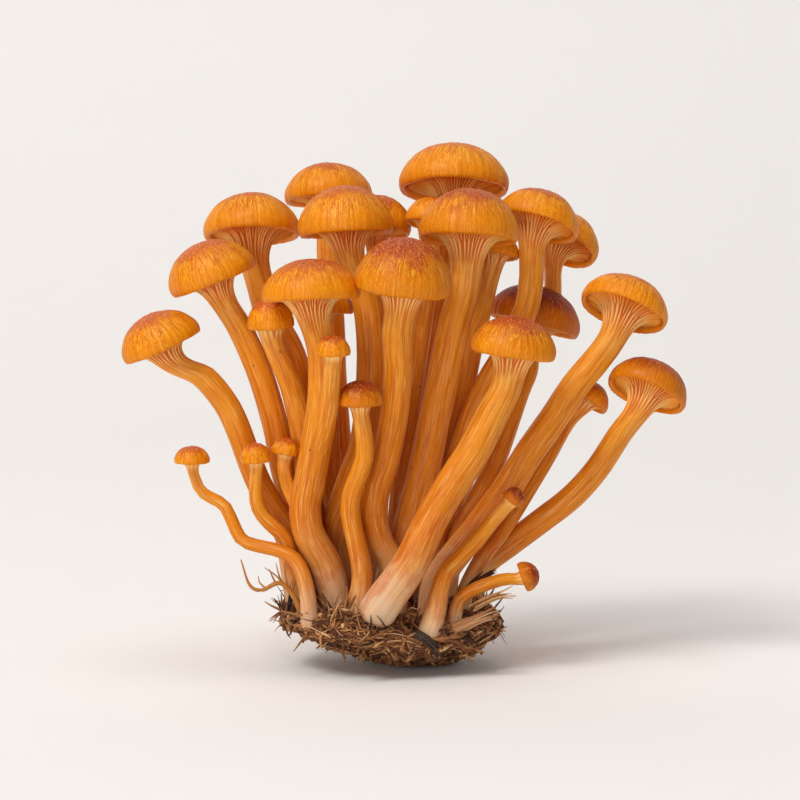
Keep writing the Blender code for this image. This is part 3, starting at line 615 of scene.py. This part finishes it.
def mushroomSkin():
    # Cap cuticle of a wood mushroom, grown in fibres from the crown outwards: satin amber, finely streaked,
    # with a red-brown crown of small flakes and a smooth rolled edge.
    material, tree, surface = newMaterial("mushroom cuticle, grown in radial fibres")
    spoke, local = attribute(tree, "spoke"), attribute(tree, "local")
    share, crown = addNode(tree, "SeparateXYZ", None, {0: attribute(tree, "look")})[:2]
    uneven = moved(share, softNoise(local, 3.846, 4.0), 0.75)
    ground = ramp(uneven, [
        (0.0, "#D05C18"), (0.4, "#DA6A0E"), (0.66, "#E07C04"), (0.86, "#E88A04"), (1.0, "#E88A06"),
    ])
    # the darkest crowns brown down the flank: the cap's own colour, and on caps lying in shade also painted
    # shade
    brownAndShade = times(between(crown, 0.62, 1.0), between(share, 1.1, 0.8, 0.3, 0.95))
    colour = blended(brownAndShade, ground, "#9C2C04")

    # radial fibres 0.7 mm wide at the edge and 4 mm long, which waver, and finer ones among them
    waver = addNode(tree, "TexNoise", {"Scale": 1 / 1.429, "Detail": 2.0}, {"Vector": local})[1]
    swaying = {"operation": "MULTIPLY_ADD", 1: (0.85, 0.85, 0.85)}
    waving = addNode(tree, "VectorMath", swaying, {0: waver, 2: spoke})[0]
    fibres = softNoise(waving, 0.6667 / cap["streak"], 3.0, 0.55)
    fine = softNoise(waving, 0.4 / cap["streak"], 1.0)
    atEdge = between(share, 1.02, 0.85, 0.5, 1.0)
    onDark = between(crown, 0.7, 1.0, 1.0, 0.4)
    streaked = times(between(share, 0.2, 0.55), times(atEdge, onDark))
    dark = times(between(fibres, 0.56, 0.36), times(streaked, 0.68))
    colour = blended(dark, colour, "#B84C02")
    pale = times(between(fine, 0.5, 0.7), times(streaked, 0.7))
    colour = blended(pale, colour, "#FFC238")

    # flakes on the crown, 0.7 mm across, redder and darker on the darker crowns
    flakes = softNoise(local, 0.6667, 4.0, 0.7)
    reach = worked("ADD", times(crown, 0.2), 0.68)
    onCrown = between(worked("SUBTRACT", reach, uneven), -0.06, 0.26)
    redness = times(onCrown, between(crown, 0.0, 1.0, 0.4, 0.95))
    red = ramp(crown, [(0.0, "#CC561A"), (0.6, "#C2501A"), (0.85, "#A83A10"), (1.0, "#841804")])
    colour = blended(redness, colour, red)
    darkFlakes = times(between(flakes, 0.52, 0.64), onCrown)
    darkFlakes = times(darkFlakes, between(crown, 0.1, 0.9, 0.45, 0.85))
    colour = blended(darkFlakes, colour, "#6E2206")
    paleFlakes = times(between(flakes, 0.47, 0.36), times(onCrown, 0.75))
    colour = blended(paleFlakes, colour, "#F09A50")
    colour = blended(between(share, 1.04, 1.12), colour, "#F29A1E")  # under the rolled edge
    height = worked("ADD", times(fibres, streaked), times(flakes, onCrown))
    setSurface(surface, {
        "Base Color": colour,
        "Roughness": between(fibres, 0.3, 0.7, 0.5, 0.36),
        "Normal": bumped(height, 0.75, 0.2 * mm),
        "IOR": 1.36,
        "Specular IOR Level": 0.35,
        "Subsurface Weight": 0.15,
        "Subsurface Radius": (1.0, 0.3, 0.05),
        "Subsurface Scale": 1.5 * mm,
    })
    return material


def mushroomFlesh():
    # Stem flesh, grown in fibres lengthwise: silky streaks, translucent orange, creamy gills and foot, and
    # small dark specks.
    material, tree, surface = newMaterial("mushroom flesh, grown in lengthwise fibres")
    grain = attribute(tree, "grain")
    height, flare, valley = addNode(tree, "SeparateXYZ", None, {0: attribute(tree, "zone")})[:3]
    # streaks 1.2 mm wide and 20 mm long, and finer ones
    broad = drawnOut(grain, 1.25, 20.0, 3.0, 0.55)
    fine = drawnOut(grain, 0.3846, 8.333, 2.0)
    uneven = moved(height, softNoise(grain, 11.11, 3.0), 0.28)
    ground = ramp(uneven, [
        (0.0, "#DEBE9C"), (0.1, "#DEAE80"), (0.2, "#DC944A"), (0.33, "#DA7C14"), (0.6, "#E08610"),
        (0.84, "#E8941C"), (1.0, "#F4B04C"),
    ])
    # a redder blush in patches, as on the bends near the foot
    blush = between(softNoise(grain, 6.25, 3.0), 0.5, 0.7)
    colour = blended(times(blush, between(height, 0.55, 0.2, 0.2, 0.5)), ground, "#C8561C")
    dark = times(between(broad, 0.55, 0.36), between(height, 0.02, 0.3, 0.2, 0.55))
    colour = blended(dark, colour, "#BC5606")
    colour = blended(times(between(fine, 0.5, 0.72), 0.45), colour, "#FCC670")
    # specks 0.3 to 0.8 mm across, a few to a stem
    dots = addNode(tree, "TexVoronoi", {"Scale": 1 / 7.692}, {"Vector": grain})[0]
    colour = blended(times(between(dots, 0.06, 0.035), 0.75), colour, "#6A3113")
    # creamy gills, more orange towards the cap's edge, with painted shade down in the grooves between them
    colour = blended(times(between(flare, 0.0, 0.2), 0.9), colour, "#FFCE7C")
    colour = blended(between(flare, 0.25, 0.75, 0.0, 0.8), colour, "#FFA42C")
    # painted shade in the grooves, deeper in some grooves than others
    grooves = times(between(valley, 0.02, 0.62), between(flare, 0.0, 0.2, 0.5, 0.92))
    colour = blended(grooves, colour, "#CE5A04")
    relief = worked("ADD", broad, times(fine, 0.6))
    setSurface(surface, {
        "Base Color": colour,
        "Roughness": between(fine, 0.3, 0.7, 0.52, 0.38),
        "Normal": bumped(relief, 0.45, 0.16 * mm),
        "IOR": 1.36,
        "Specular IOR Level": 0.4,
        "Subsurface Weight": 0.2,
        "Subsurface Radius": (1.0, 0.32, 0.06),
        "Subsurface Scale": 1.8 * mm,
    })
    return material


def brokenWood(name, roughness, stops):
    # Wood come apart into fibres: matt, each fibre with its own tint, with mottling 1.2 mm across and grit.
    material, tree, surface = newMaterial(name)
    own = addNode(tree, "SeparateXYZ", None, {0: attribute(tree, "tint")})[0]
    place = addNode(tree, "TexCoord")["Object"]
    value = moved(own, softNoise(place, 1.176 * mm, 4.0, 0.65), 0.5)
    grit = softNoise(place, 0.3846 * mm, 3.0)
    setSurface(surface, {
        "Base Color": ramp(value, stops),
        "Roughness": roughness,
        "Normal": bumped(grit, 0.6, 0.15 * mm),
    })
    return material


skinMaterial = mushroomSkin()
fleshMaterial = mushroomFlesh()
# matt, from nearly black soil to pale straw
earthMaterial = brokenWood("rotten wood and soil, crumbled", 0.9, [
    (0.0, "#30180C"), (0.3, "#66381C"), (0.55, "#986036"), (0.8, "#C28C54"), (1.0, "#E0B680"),
])
# dry tan fibres
paleMaterial = brokenWood("softwood, split along its fibres", 0.8, [
    (0.0, "#7A4A28"), (0.3, "#A87148"), (0.6, "#C99A6C"), (1.0, "#E0BC92"),
])
# the darkest thing in the clod
darkMaterial = brokenWood("bark strip, weathered grey brown", 0.8, [
    (0.0, "#1A120D"), (0.4, "#33251C"), (0.75, "#4E3B2E"), (1.0, "#6E5848"),
])
# a little smoother, and orange brown
rootMaterial = brokenWood("young root, smooth skinned", 0.6, [
    (0.0, "#7A3F12"), (0.35, "#A9651F"), (0.7, "#C98530"), (1.0, "#DDA04A"),
])

print("mushrooms")
for number, mushroom in mushrooms.items():
    draw = random.Random(int(number))
    grownFrom = mushroom.get("grownFrom", "stem_" + number)
    points, faces = stemShape(mushroom, draw)
    addPiece("Stem." + number, points, faces, ("grain", "zone"), fleshMaterial, grownFrom)
    points, faces = capShape(mushroom, draw)
    layers = ("spoke", "local", "look")
    addPiece("Cap." + number, points, faces, layers, skinMaterial, "cap_" + number)


# Clod of rotten wood

clod = {
    "centre": (-4.2, -2.0),
    "reach": (33.8, 28.8),  # half its width and depth
    "top": 18.5,
    "frontDip": 6.0,  # how much lower it is at the front, where the stems' feet show
    "dipWay": math.radians(-60),  # the way from its middle in which it is lowest
    "footCentre": (4.0, 2.0),
    "settle": 1.4,  # the foot's centre passes into the clod's this fast with height
    # outline from the middle of the top, round the side, to the foot: share of height, share of reach
    "outline": [
        (1.0, 0.0), (1.0, 0.3), (1.0, 0.58), (0.94, 0.8), (0.82, 0.96), (0.62, 0.93), (0.4, 0.7),
        (0.2, 0.5), (0.0, 0.38),
    ],
    "around": 132,  # points in a ring
    "rings": 56,
    "lump": 2.6,  # height of the large lumps
    "lumps": 2.7,  # how close together the lumps are
    "crumble": 1.5,  # height of the small lumps
    "matted": 2200,  # fibres that lie on the surface
    "loose": 420,  # fibres that stand out of its side
    "upright": 260,  # fibres that stand up between the stems, half of them at its left front
    "joints": 6,  # stretches of a standing fibre
    "crumbs": 1400,
    "chips": 160,
    # the frayed strip, the bark and the thin dark roots at its right side: line, widths at its ends, number
    # of fibres, how far they part, range of tints
    "bundles": [
        ([(20, 15.5, -17), (27, 19.0, -18), (33.5, 20.5, -18.5)], (2.4, 1.3), 14, 2.2, (0.6, 0.9)),
        ([(19, 20, -9), (23.5, 24.5, -9), (27.8, 27, -9.5)], (3.6, 2.4), 12, 0.6, (0.02, 0.2)),
        ([(24, 14, -21), (28, 11.5, -23), (30.8, 7.6, -24)], (1.0, 0.6), 3, 0.5, (0.1, 0.2)),
        ([(18, 8, -22), (20, 5.5, -24), (21.5, 4, -25)], (3.0, 1.6), 9, 1.0, (0.0, 0.2)),
    ],
}


def clodPoints(angle, along):  # by the angle round it and the share of the way from its top to its foot
    angle, along = np.atleast_1d(angle), np.clip(np.atleast_1d(along), 0, 1)
    outline = np.array(clod["outline"])
    steps = np.linspace(0, 1, len(outline))
    share = np.interp(along, steps, outline[:, 0])
    reach = np.interp(along, steps, outline[:, 1])
    cosine, sine = np.cos(angle), np.sin(angle)
    way = columns(cosine, sine, share * 1.5)
    lump = noiseAt(way * clod["lumps"]) * clod["lump"] * 1.6 * np.minimum(1, reach * 2)
    lift = noiseAt(way * clod["lumps"] + (9, 5, 2)) * clod["lump"]
    dip = np.maximum(0, np.cos(angle - clod["dipWay"])) ** 2
    height = clod["top"] - clod["frontDip"] * reach * dip
    settle = np.minimum(1, share * 4)
    towards = np.minimum(1, share * clod["settle"])
    place = []
    for k, around in ((0, cosine), (1, sine)):
        middle = clod["footCentre"][k] * (1 - towards) + clod["centre"][k] * towards
        place.append(middle + (clod["reach"][k] * reach + lump * settle) * around)
    return np.stack(place + [share * height + lift * settle], 1)


def clodNormal(angle, along):
    here, right, down = clodPoints([angle, angle + 0.03, angle], [along, along, along + 0.02])
    return unit(np.cross(down - here, right - here))


def outwards(points, height):  # ways to these points from this height inside the clod
    ways = points - (0, 0, height)
    return ways / np.linalg.norm(ways, axis=1)[:, None]


def newStore():
    return {"points": [], "faces": [], "count": 0}


def intoStore(store, points, tint, faces):
    store["points"].append(np.hstack([points, tint]))
    store["faces"] += faces
    store["count"] += len(points)


def addStrand(store, line, widths, tint, sides=4, flat=1.0):  # a tapered fibre along a line of points
    line = np.asarray(line, float)
    tangents = np.gradient(line, axis=0)
    tangents /= np.linalg.norm(tangents, axis=1)[:, None] + 1e-9
    upright = (0, 0, 1) if abs(tangents[0][2]) < 0.8 else (1, 0, 0)
    side = np.cross(tangents, upright)
    side /= np.linalg.norm(side, axis=1)[:, None] + 1e-9
    other = np.cross(side, tangents)
    count = len(line)
    wide = np.interp(np.linspace(0, 1, count), np.linspace(0, 1, len(widths)), widths) / 2
    turn = 2 * np.pi * np.arange(sides) / sides
    rings = (
        line[:, None] + side[:, None] * (np.cos(turn) * wide[:, None])[:, :, None]
        + other[:, None] * (np.sin(turn) * wide[:, None] * flat)[:, :, None]
    )
    tips = [line[0] - tangents[0] * wide[0] * 0.6, line[-1] + tangents[-1] * wide[-1] * 1.5]
    points = np.vstack([rings.reshape(-1, 3), tips])
    ring = np.arange(sides)
    following = (ring + 1) % sides
    first = store["count"]
    faces = []
    for a in range(first, first + (count - 1) * sides, sides):
        b = a + sides
        faces += np.stack([a + ring, b + ring, b + following, a + following], 1).tolist()
    start, end, last = first + count * sides, first + count * sides + 1, first + (count - 1) * sides
    faces += [(start, first + int(i), first + int(j)) for i, j in zip(ring, following)]
    faces += [(end, last + int(j), last + int(i)) for i, j in zip(ring, following)]
    intoStore(store, points, np.full((len(points), 3), tint), faces)


# A crumb is an icosahedron with its corners moved
golden = (1 + 5**0.5) / 2
flatCorners = [(x, y * golden, 0) for y in (1, -1) for x in (-1, 1)]
crumbCorners = np.vstack([np.roll(flatCorners, k, axis=1) for k in range(3)]) / 1.9
crumbFaces = [
    (0, 11, 5), (0, 5, 1), (0, 1, 7), (0, 7, 10), (0, 10, 11), (1, 5, 9), (5, 11, 4), (11, 10, 2),
    (10, 7, 6), (7, 1, 8), (3, 9, 4), (3, 4, 2), (3, 2, 6), (3, 6, 8), (3, 8, 9), (4, 9, 5), (2, 4, 11),
    (6, 2, 10), (8, 6, 7), (9, 8, 1),
]


def addCrumb(store, place, size, stretch, tint, draw):
    rough = drawn(draw, len(crumbCorners), 0.65, 1.3)[:, None]
    turn = np.linalg.qr(np.array([[draw.gauss(0, 1) for _ in range(3)] for _ in range(3)]))[0]
    if np.linalg.det(turn) < 0:
        turn[:, 0] = -turn[:, 0]
    points = (crumbCorners * rough * stretch) @ turn.T * size / 2 + place
    faces = [tuple(store["count"] + i for i in face) for face in crumbFaces]
    intoStore(store, points, np.full(points.shape, tint), faces)


def addBundle(store, line, widths, fibres, fray, tints, draw):  # side by side, and parting towards the end
    line = smoothLine([placed(*p) for p in line], 14)[0]
    side, other = sidesOf(unit(line[-1] - line[0]))
    shares = np.linspace(0, 1, len(line))
    parting = 1 + fray * np.maximum(0, shares - 0.55) ** 2 * 5
    wide = np.interp(shares, (0, 1), widths) / 2 * parting
    for _ in range(fibres):
        turn, out = draw.uniform(0, 2 * math.pi), math.sqrt(draw.uniform(0, 1))
        bend = drawn(draw, 2, -0.35, 0.35)
        start, end = draw.randint(0, 3), draw.randint(10, 14)
        x = (math.cos(turn) * out + bend[0] * shares**2) * wide
        y = (math.sin(turn) * out + bend[1] * shares**2) * wide
        path = (line + np.outer(x, side) + np.outer(y, other))[start : end + 1]
        thick = draw.uniform(0.25, 0.5) * widths[0]
        addStrand(store, path, (thick * 0.8, thick, thick * 0.25), draw.uniform(*tints), 4, 0.7)


def addStore(name, store, material, node):
    addPiece(name, np.vstack(store["points"]), store["faces"], ("tint",), material, node)


def tintNear(draw, middle, spread):
    return min(1, max(0, draw.gauss(middle, spread)))


def addLump(store):  # the body of the clod
    count = clod["around"]
    angles = 2 * np.pi * np.arange(count) / count
    rows = []
    for along in np.linspace(0.02, 1, clod["rings"]):
        points = clodPoints(angles, np.full(count, along))
        fine = noiseAt(points * 0.42) + 0.6 * noiseAt(points * 1.1, 40)
        crumble = fine * clod["crumble"] * min(1, (1.02 - along) * 6)
        points = points + outwards(points, 9) * crumble[:, None]
        points[:, 2] = np.maximum(points[:, 2], 0)
        tint = 0.3 + 0.35 * noiseAt(points * 0.25, 11)
        rows.append(np.hstack([points, columns(tint, tint, tint)]))
    rows = rows[::-1]
    points, faces = joinRows(rows, rows[0][:, :3].mean(0), rows[-1][:, :3].mean(0))
    intoStore(store, points[:, :3], points[:, 3:], faces)


def addMatted(store, draw):
    shares = np.linspace(0, 1, 6)
    for _ in range(clod["matted"]):
        angle, along = draw.uniform(0, 2 * math.pi), draw.uniform(0.12, 0.93)
        length = draw.uniform(3, 11)
        heading = draw.gauss(0, 0.8) + draw.choice((0, 0, math.pi))
        lift = draw.uniform(-0.1, 1.1)
        angles = angle + math.cos(heading) * length * shares / 30 + draw.uniform(-0.06, 0.06) * shares**2
        alongs = along + math.sin(heading) * length * shares / 60 + draw.uniform(-0.03, 0.03) * shares**2
        path = clodPoints(angles, alongs)
        path = path + outwards(path, 8) * (0.15 + lift * shares * (1.6 - shares))[:, None]
        path[:, 2] = np.maximum(path[:, 2], 0.35)
        wide = draw.choice((0.35, 0.45, 0.6, 0.75, 1.0, 1.5))
        tint = tintNear(draw, 0.54, 0.24)
        addStrand(store, path, (wide * 0.5, wide, wide * 0.8, wide * 0.3), tint, 4, draw.uniform(0.5, 1))


def addLoose(store, draw):
    joints = clod["joints"]
    for _ in range(clod["loose"]):
        angle, along = draw.uniform(0, 2 * math.pi), draw.uniform(0.4, 0.8)
        root = clodPoints(angle, along)[0]
        out = clodNormal(angle, along)
        level = unit(np.cross(out, (0, 0, 1)))
        heading = out + level * draw.gauss(0, 0.7)
        length = draw.choice((2, 3, 4, 6, 8.5)) * (1.5 - along)
        droop = draw.uniform(-0.6, 0.3)
        curl = draw.gauss(0, 0.45)
        path = [root - out * 0.6]
        for _ in range(joints):
            heading = unit(heading + np.array((0, 0, droop * 0.4)) + level * curl)
            path.append(path[-1] + heading * length / joints)
        path = np.array(path)
        path[:, 2] = np.maximum(path[:, 2], 0.3)
        wide = draw.choice((0.25, 0.35, 0.5, 0.8))
        addStrand(store, path, (wide * 1.3, wide, wide * 0.45), tintNear(draw, 0.42, 0.22))


def addUpright(store, draw):
    joints = clod["joints"]
    for _ in range(clod["upright"]):
        angle = draw.choice((draw.uniform(0, 2 * math.pi), math.radians(draw.uniform(-178, -95))))
        root = clodPoints(angle, draw.uniform(0.1, 0.5))[0]
        heading = unit(np.array((draw.gauss(0, 0.45), draw.gauss(0, 0.45), 1)))
        length = draw.uniform(2.5, 8)
        path = [root - (0, 0, 0.8)]
        for _ in range(joints):
            heading = unit(heading + (draw.gauss(0, 0.13), draw.gauss(0, 0.13), -0.03))
            path.append(path[-1] + heading * length / joints)
        wide = draw.choice((0.4, 0.6, 0.9, 1.3))
        addStrand(store, path, (wide * 1.2, wide, wide * 0.4), tintNear(draw, 0.45, 0.24), 4, 0.6)


def addCrumbs(store, draw):  # crumbs of soil, then flat chips of wood
    for _ in range(clod["crumbs"]):
        angle, along = draw.uniform(0, 2 * math.pi), draw.uniform(0.05, 0.95)
        place = clodPoints(angle, along)[0] + clodNormal(angle, along) * draw.uniform(0.0, 0.9)
        size = draw.choice((0.6, 0.8, 1.0, 1.4, 1.9))
        place[2] = max(place[2], size * 0.7)
        addCrumb(store, place, size, (1, 1, draw.uniform(0.6, 1)), tintNear(draw, 0.4, 0.24), draw)
    for _ in range(clod["chips"]):
        angle, along = draw.uniform(0, 2 * math.pi), draw.uniform(0.3, 0.92)
        place = clodPoints(angle, along)[0] + clodNormal(angle, along) * draw.uniform(0.1, 0.7)
        place[2] = max(place[2], 1.6)
        addCrumb(store, place, draw.uniform(1.5, 2.6), (2.0, 0.9, 0.35), draw.uniform(0.35, 0.95), draw)


print("clod")
draw = random.Random(11)
store = newStore()
addLump(store)
addMatted(store, draw)
addLoose(store, draw)
addUpright(store, draw)
addCrumbs(store, draw)
for bundle in clod["bundles"]:
    addBundle(store, *bundle, draw)
addStore("Clod", store, earthMaterial, "clod")


# Scraps of wood caught in the clod, and a rootlet

# material, slot, node, and a bundle that is written like the clod's
scraps = {
    "SplinterPale": (paleMaterial, "pale_wood", "splinter_pale", (
        [(12.5, 7.8, -20), (14.5, 8.8, -21.3), (20.5, 11.6, -25), (28.8, 15.2, -25.5)],
        (4.4, 1.6), 34, 2.4, (0.1, 0.9),
    )),
    "SplinterDark": (darkMaterial, "dark_wood", "splinter_dark", (
        [(0.9, 10.6, -20), (2.0, 9.4, -21.4), (6.8, 6.8, -27.3), (12.5, 1.6, -21)],
        (3.0, 1.9), 22, 1.6, (0.0, 0.8),
    )),
    "StickDark": (darkMaterial, "dark_wood", "stick_dark", (
        [(-34.4, 11, -9.5), (-34.3, 15, -11.5), (-33.7, 20, -14.8), (-32.6, 24.8, -18)],
        (1.2, 1.5), 8, 0.4, (0.1, 0.9),
    )),
}
rootlet = {
    "line": [
        (-29.8, 12.2, -15.6), (-32.5, 19, -18), (-36.9, 23.4, -19.5), (-42.3, 21.3, -20), (-46, 22.8, -20),
        (-48.6, 30.3, -20),
    ],
    "widths": (2.1, 1.9, 1.5, 1.4, 1.2, 0.7, 0.4),
    "tint": 0.5,
    # small side roots: a line each
    "sprigs": [
        [(-35.5, 22.5, -19), (-38, 25.5, -19.5), (-41.5, 28, -20)],
        [(-38, 23, -19.5), (-39.5, 26, -20), (-40, 27.5, -20)],
        [(-36, 23, -19), (-37.3, 26, -19), (-38.1, 29.4, -19)],
        [(-34.5, 22, -18.5), (-35.2, 25.5, -18), (-35.7, 29.6, -18)],
        [(-33, 21, -18), (-33.5, 24, -18), (-32, 27, -18)],
        [(-41, 21.7, -20), (-43, 23.5, -20), (-43.4, 25.5, -20)],
    ],
    "sprigWidths": (0.7, 0.55, 0.25),
    "sprigTints": (0.2, 0.8),
}

print("scraps")
draw = random.Random(5)
for name, (material, slot, node, bundle) in scraps.items():
    store = newStore()
    addBundle(store, *bundle, draw)
    addStore(name, store, material, node)
root = newStore()
line = smoothLine([placed(*p) for p in rootlet["line"]], 40)[0]
addStrand(root, line, rootlet["widths"], rootlet["tint"], 10)
for sprig in rootlet["sprigs"]:
    line = smoothLine([placed(*p) for p in sprig], 8)[0]
    addStrand(root, line, rootlet["sprigWidths"], draw.uniform(*rootlet["sprigTints"]), 6)
addStore("Rootlet", root, rootMaterial, "rootlet")


# Studio, in metres

studio = {
    "paper": "#F8F5F2",
    "tooth": "#DDD5CE",
    # the paper from the side: flat under the cluster, then curved up behind it
    "sweep": [
        (-2.0, 0.0), (0.5, 0.0), (0.8, 0.012), (1.05, 0.06), (1.25, 0.16), (1.38, 0.32), (1.44, 0.55),
        (1.45, 2.2),
    ],
    "sweepSteps": 60,
    "halfWidth": 3.0,
    "world": "#FFFFFF",
    "worldStrength": 0.23,
    "beyond": 0.95,  # brightness of the paper's colour past its end
    # softboxes: place, what they point at, size, power in watts, colour
    "lamps": {
        "key": ((-1.6, -1.7, 2.75), (0, 0, 0.07), 1.3, 68.0, "#FFFDFB"),
        "top": ((0.1, -0.2, 2.6), (0, 0, 0.05), 1.6, 16.0, "#FFFFFF"),
        "low": ((-0.6, -2.2, 0.2), (0, 0, 0.12), 1.2, 19.0, "#FFFDFA"),
    },
}


def studioPaper():
    # Studio paper, rolled: matt, with a faint tooth 1.5 mm across.
    material, tree, surface = newMaterial("studio paper, matt rolled")
    place = addNode(tree, "TexCoord")["Object"]
    tooth = softNoise(place, 1.429 * mm, 2.0)
    colour = blended(times(tooth, 0.06), studio["paper"], studio["tooth"])
    setSurface(surface, {"Base Color": colour, "Roughness": 0.95})
    return material


def makeFloor():
    steps = studio["sweepSteps"]
    sweep = smoothLine([(0, y, z) for y, z in studio["sweep"]], steps)[0]
    points = [(x, y, z) for _, y, z in sweep for x in (-studio["halfWidth"], studio["halfWidth"])]
    faces = [(2 * k, 2 * k + 1, 2 * k + 3, 2 * k + 2) for k in range(steps)]
    newObject("Floor", newMesh("Floor", points, faces, studioPaper()))


def makeWorld():
    world = bpy.data.worlds.new("Studio")
    world.use_nodes = True
    tree = world.node_tree
    soft = tree.nodes["Background"]
    soft.inputs[0].default_value = linear(studio["world"])
    soft.inputs[1].default_value = studio["worldStrength"]
    paper = {"Color": linear(studio["paper"]), "Strength": studio["beyond"]}
    beyond = addNode(tree, "Background", paper)[0]
    seen = addNode(tree, "LightPath")["Is Camera Ray"]
    both = addNode(tree, "MixShader", None, {0: seen, 1: soft.outputs[0], 2: beyond})[0]
    tree.links.new(both, tree.nodes["World Output"].inputs[0])
    bpy.context.scene.world = world


def makeLamps():
    for name, (place, target, size, power, colour) in studio["lamps"].items():
        lamp = bpy.data.lights.new(name, "AREA")
        lamp.size = size
        lamp.energy = power
        lamp.color = linear(colour)[:3]
        thing = newObject(name, lamp)
        thing.location = place
        away = unit(np.array(place) - np.array(target))
        thing.rotation_euler = (math.acos(away[2]), 0, math.atan2(away[1], away[0]) + math.pi / 2)


def makeCamera():
    lens = bpy.data.cameras.new("Camera")
    lens.lens = viewing["lens"]
    lens.sensor_width = viewing["sensor"]
    lens.clip_end = viewing["clipEnd"]
    camera = newObject("Camera", lens)
    camera.location = eye / 1000
    camera.rotation_euler = (math.pi / 2 - viewing["down"], 0, 0)
    bpy.context.scene.camera = camera
    bpy.context.scene.view_settings.view_transform = "Standard"


print("studio")
makeFloor()
makeWorld()
makeLamps()
makeCamera()
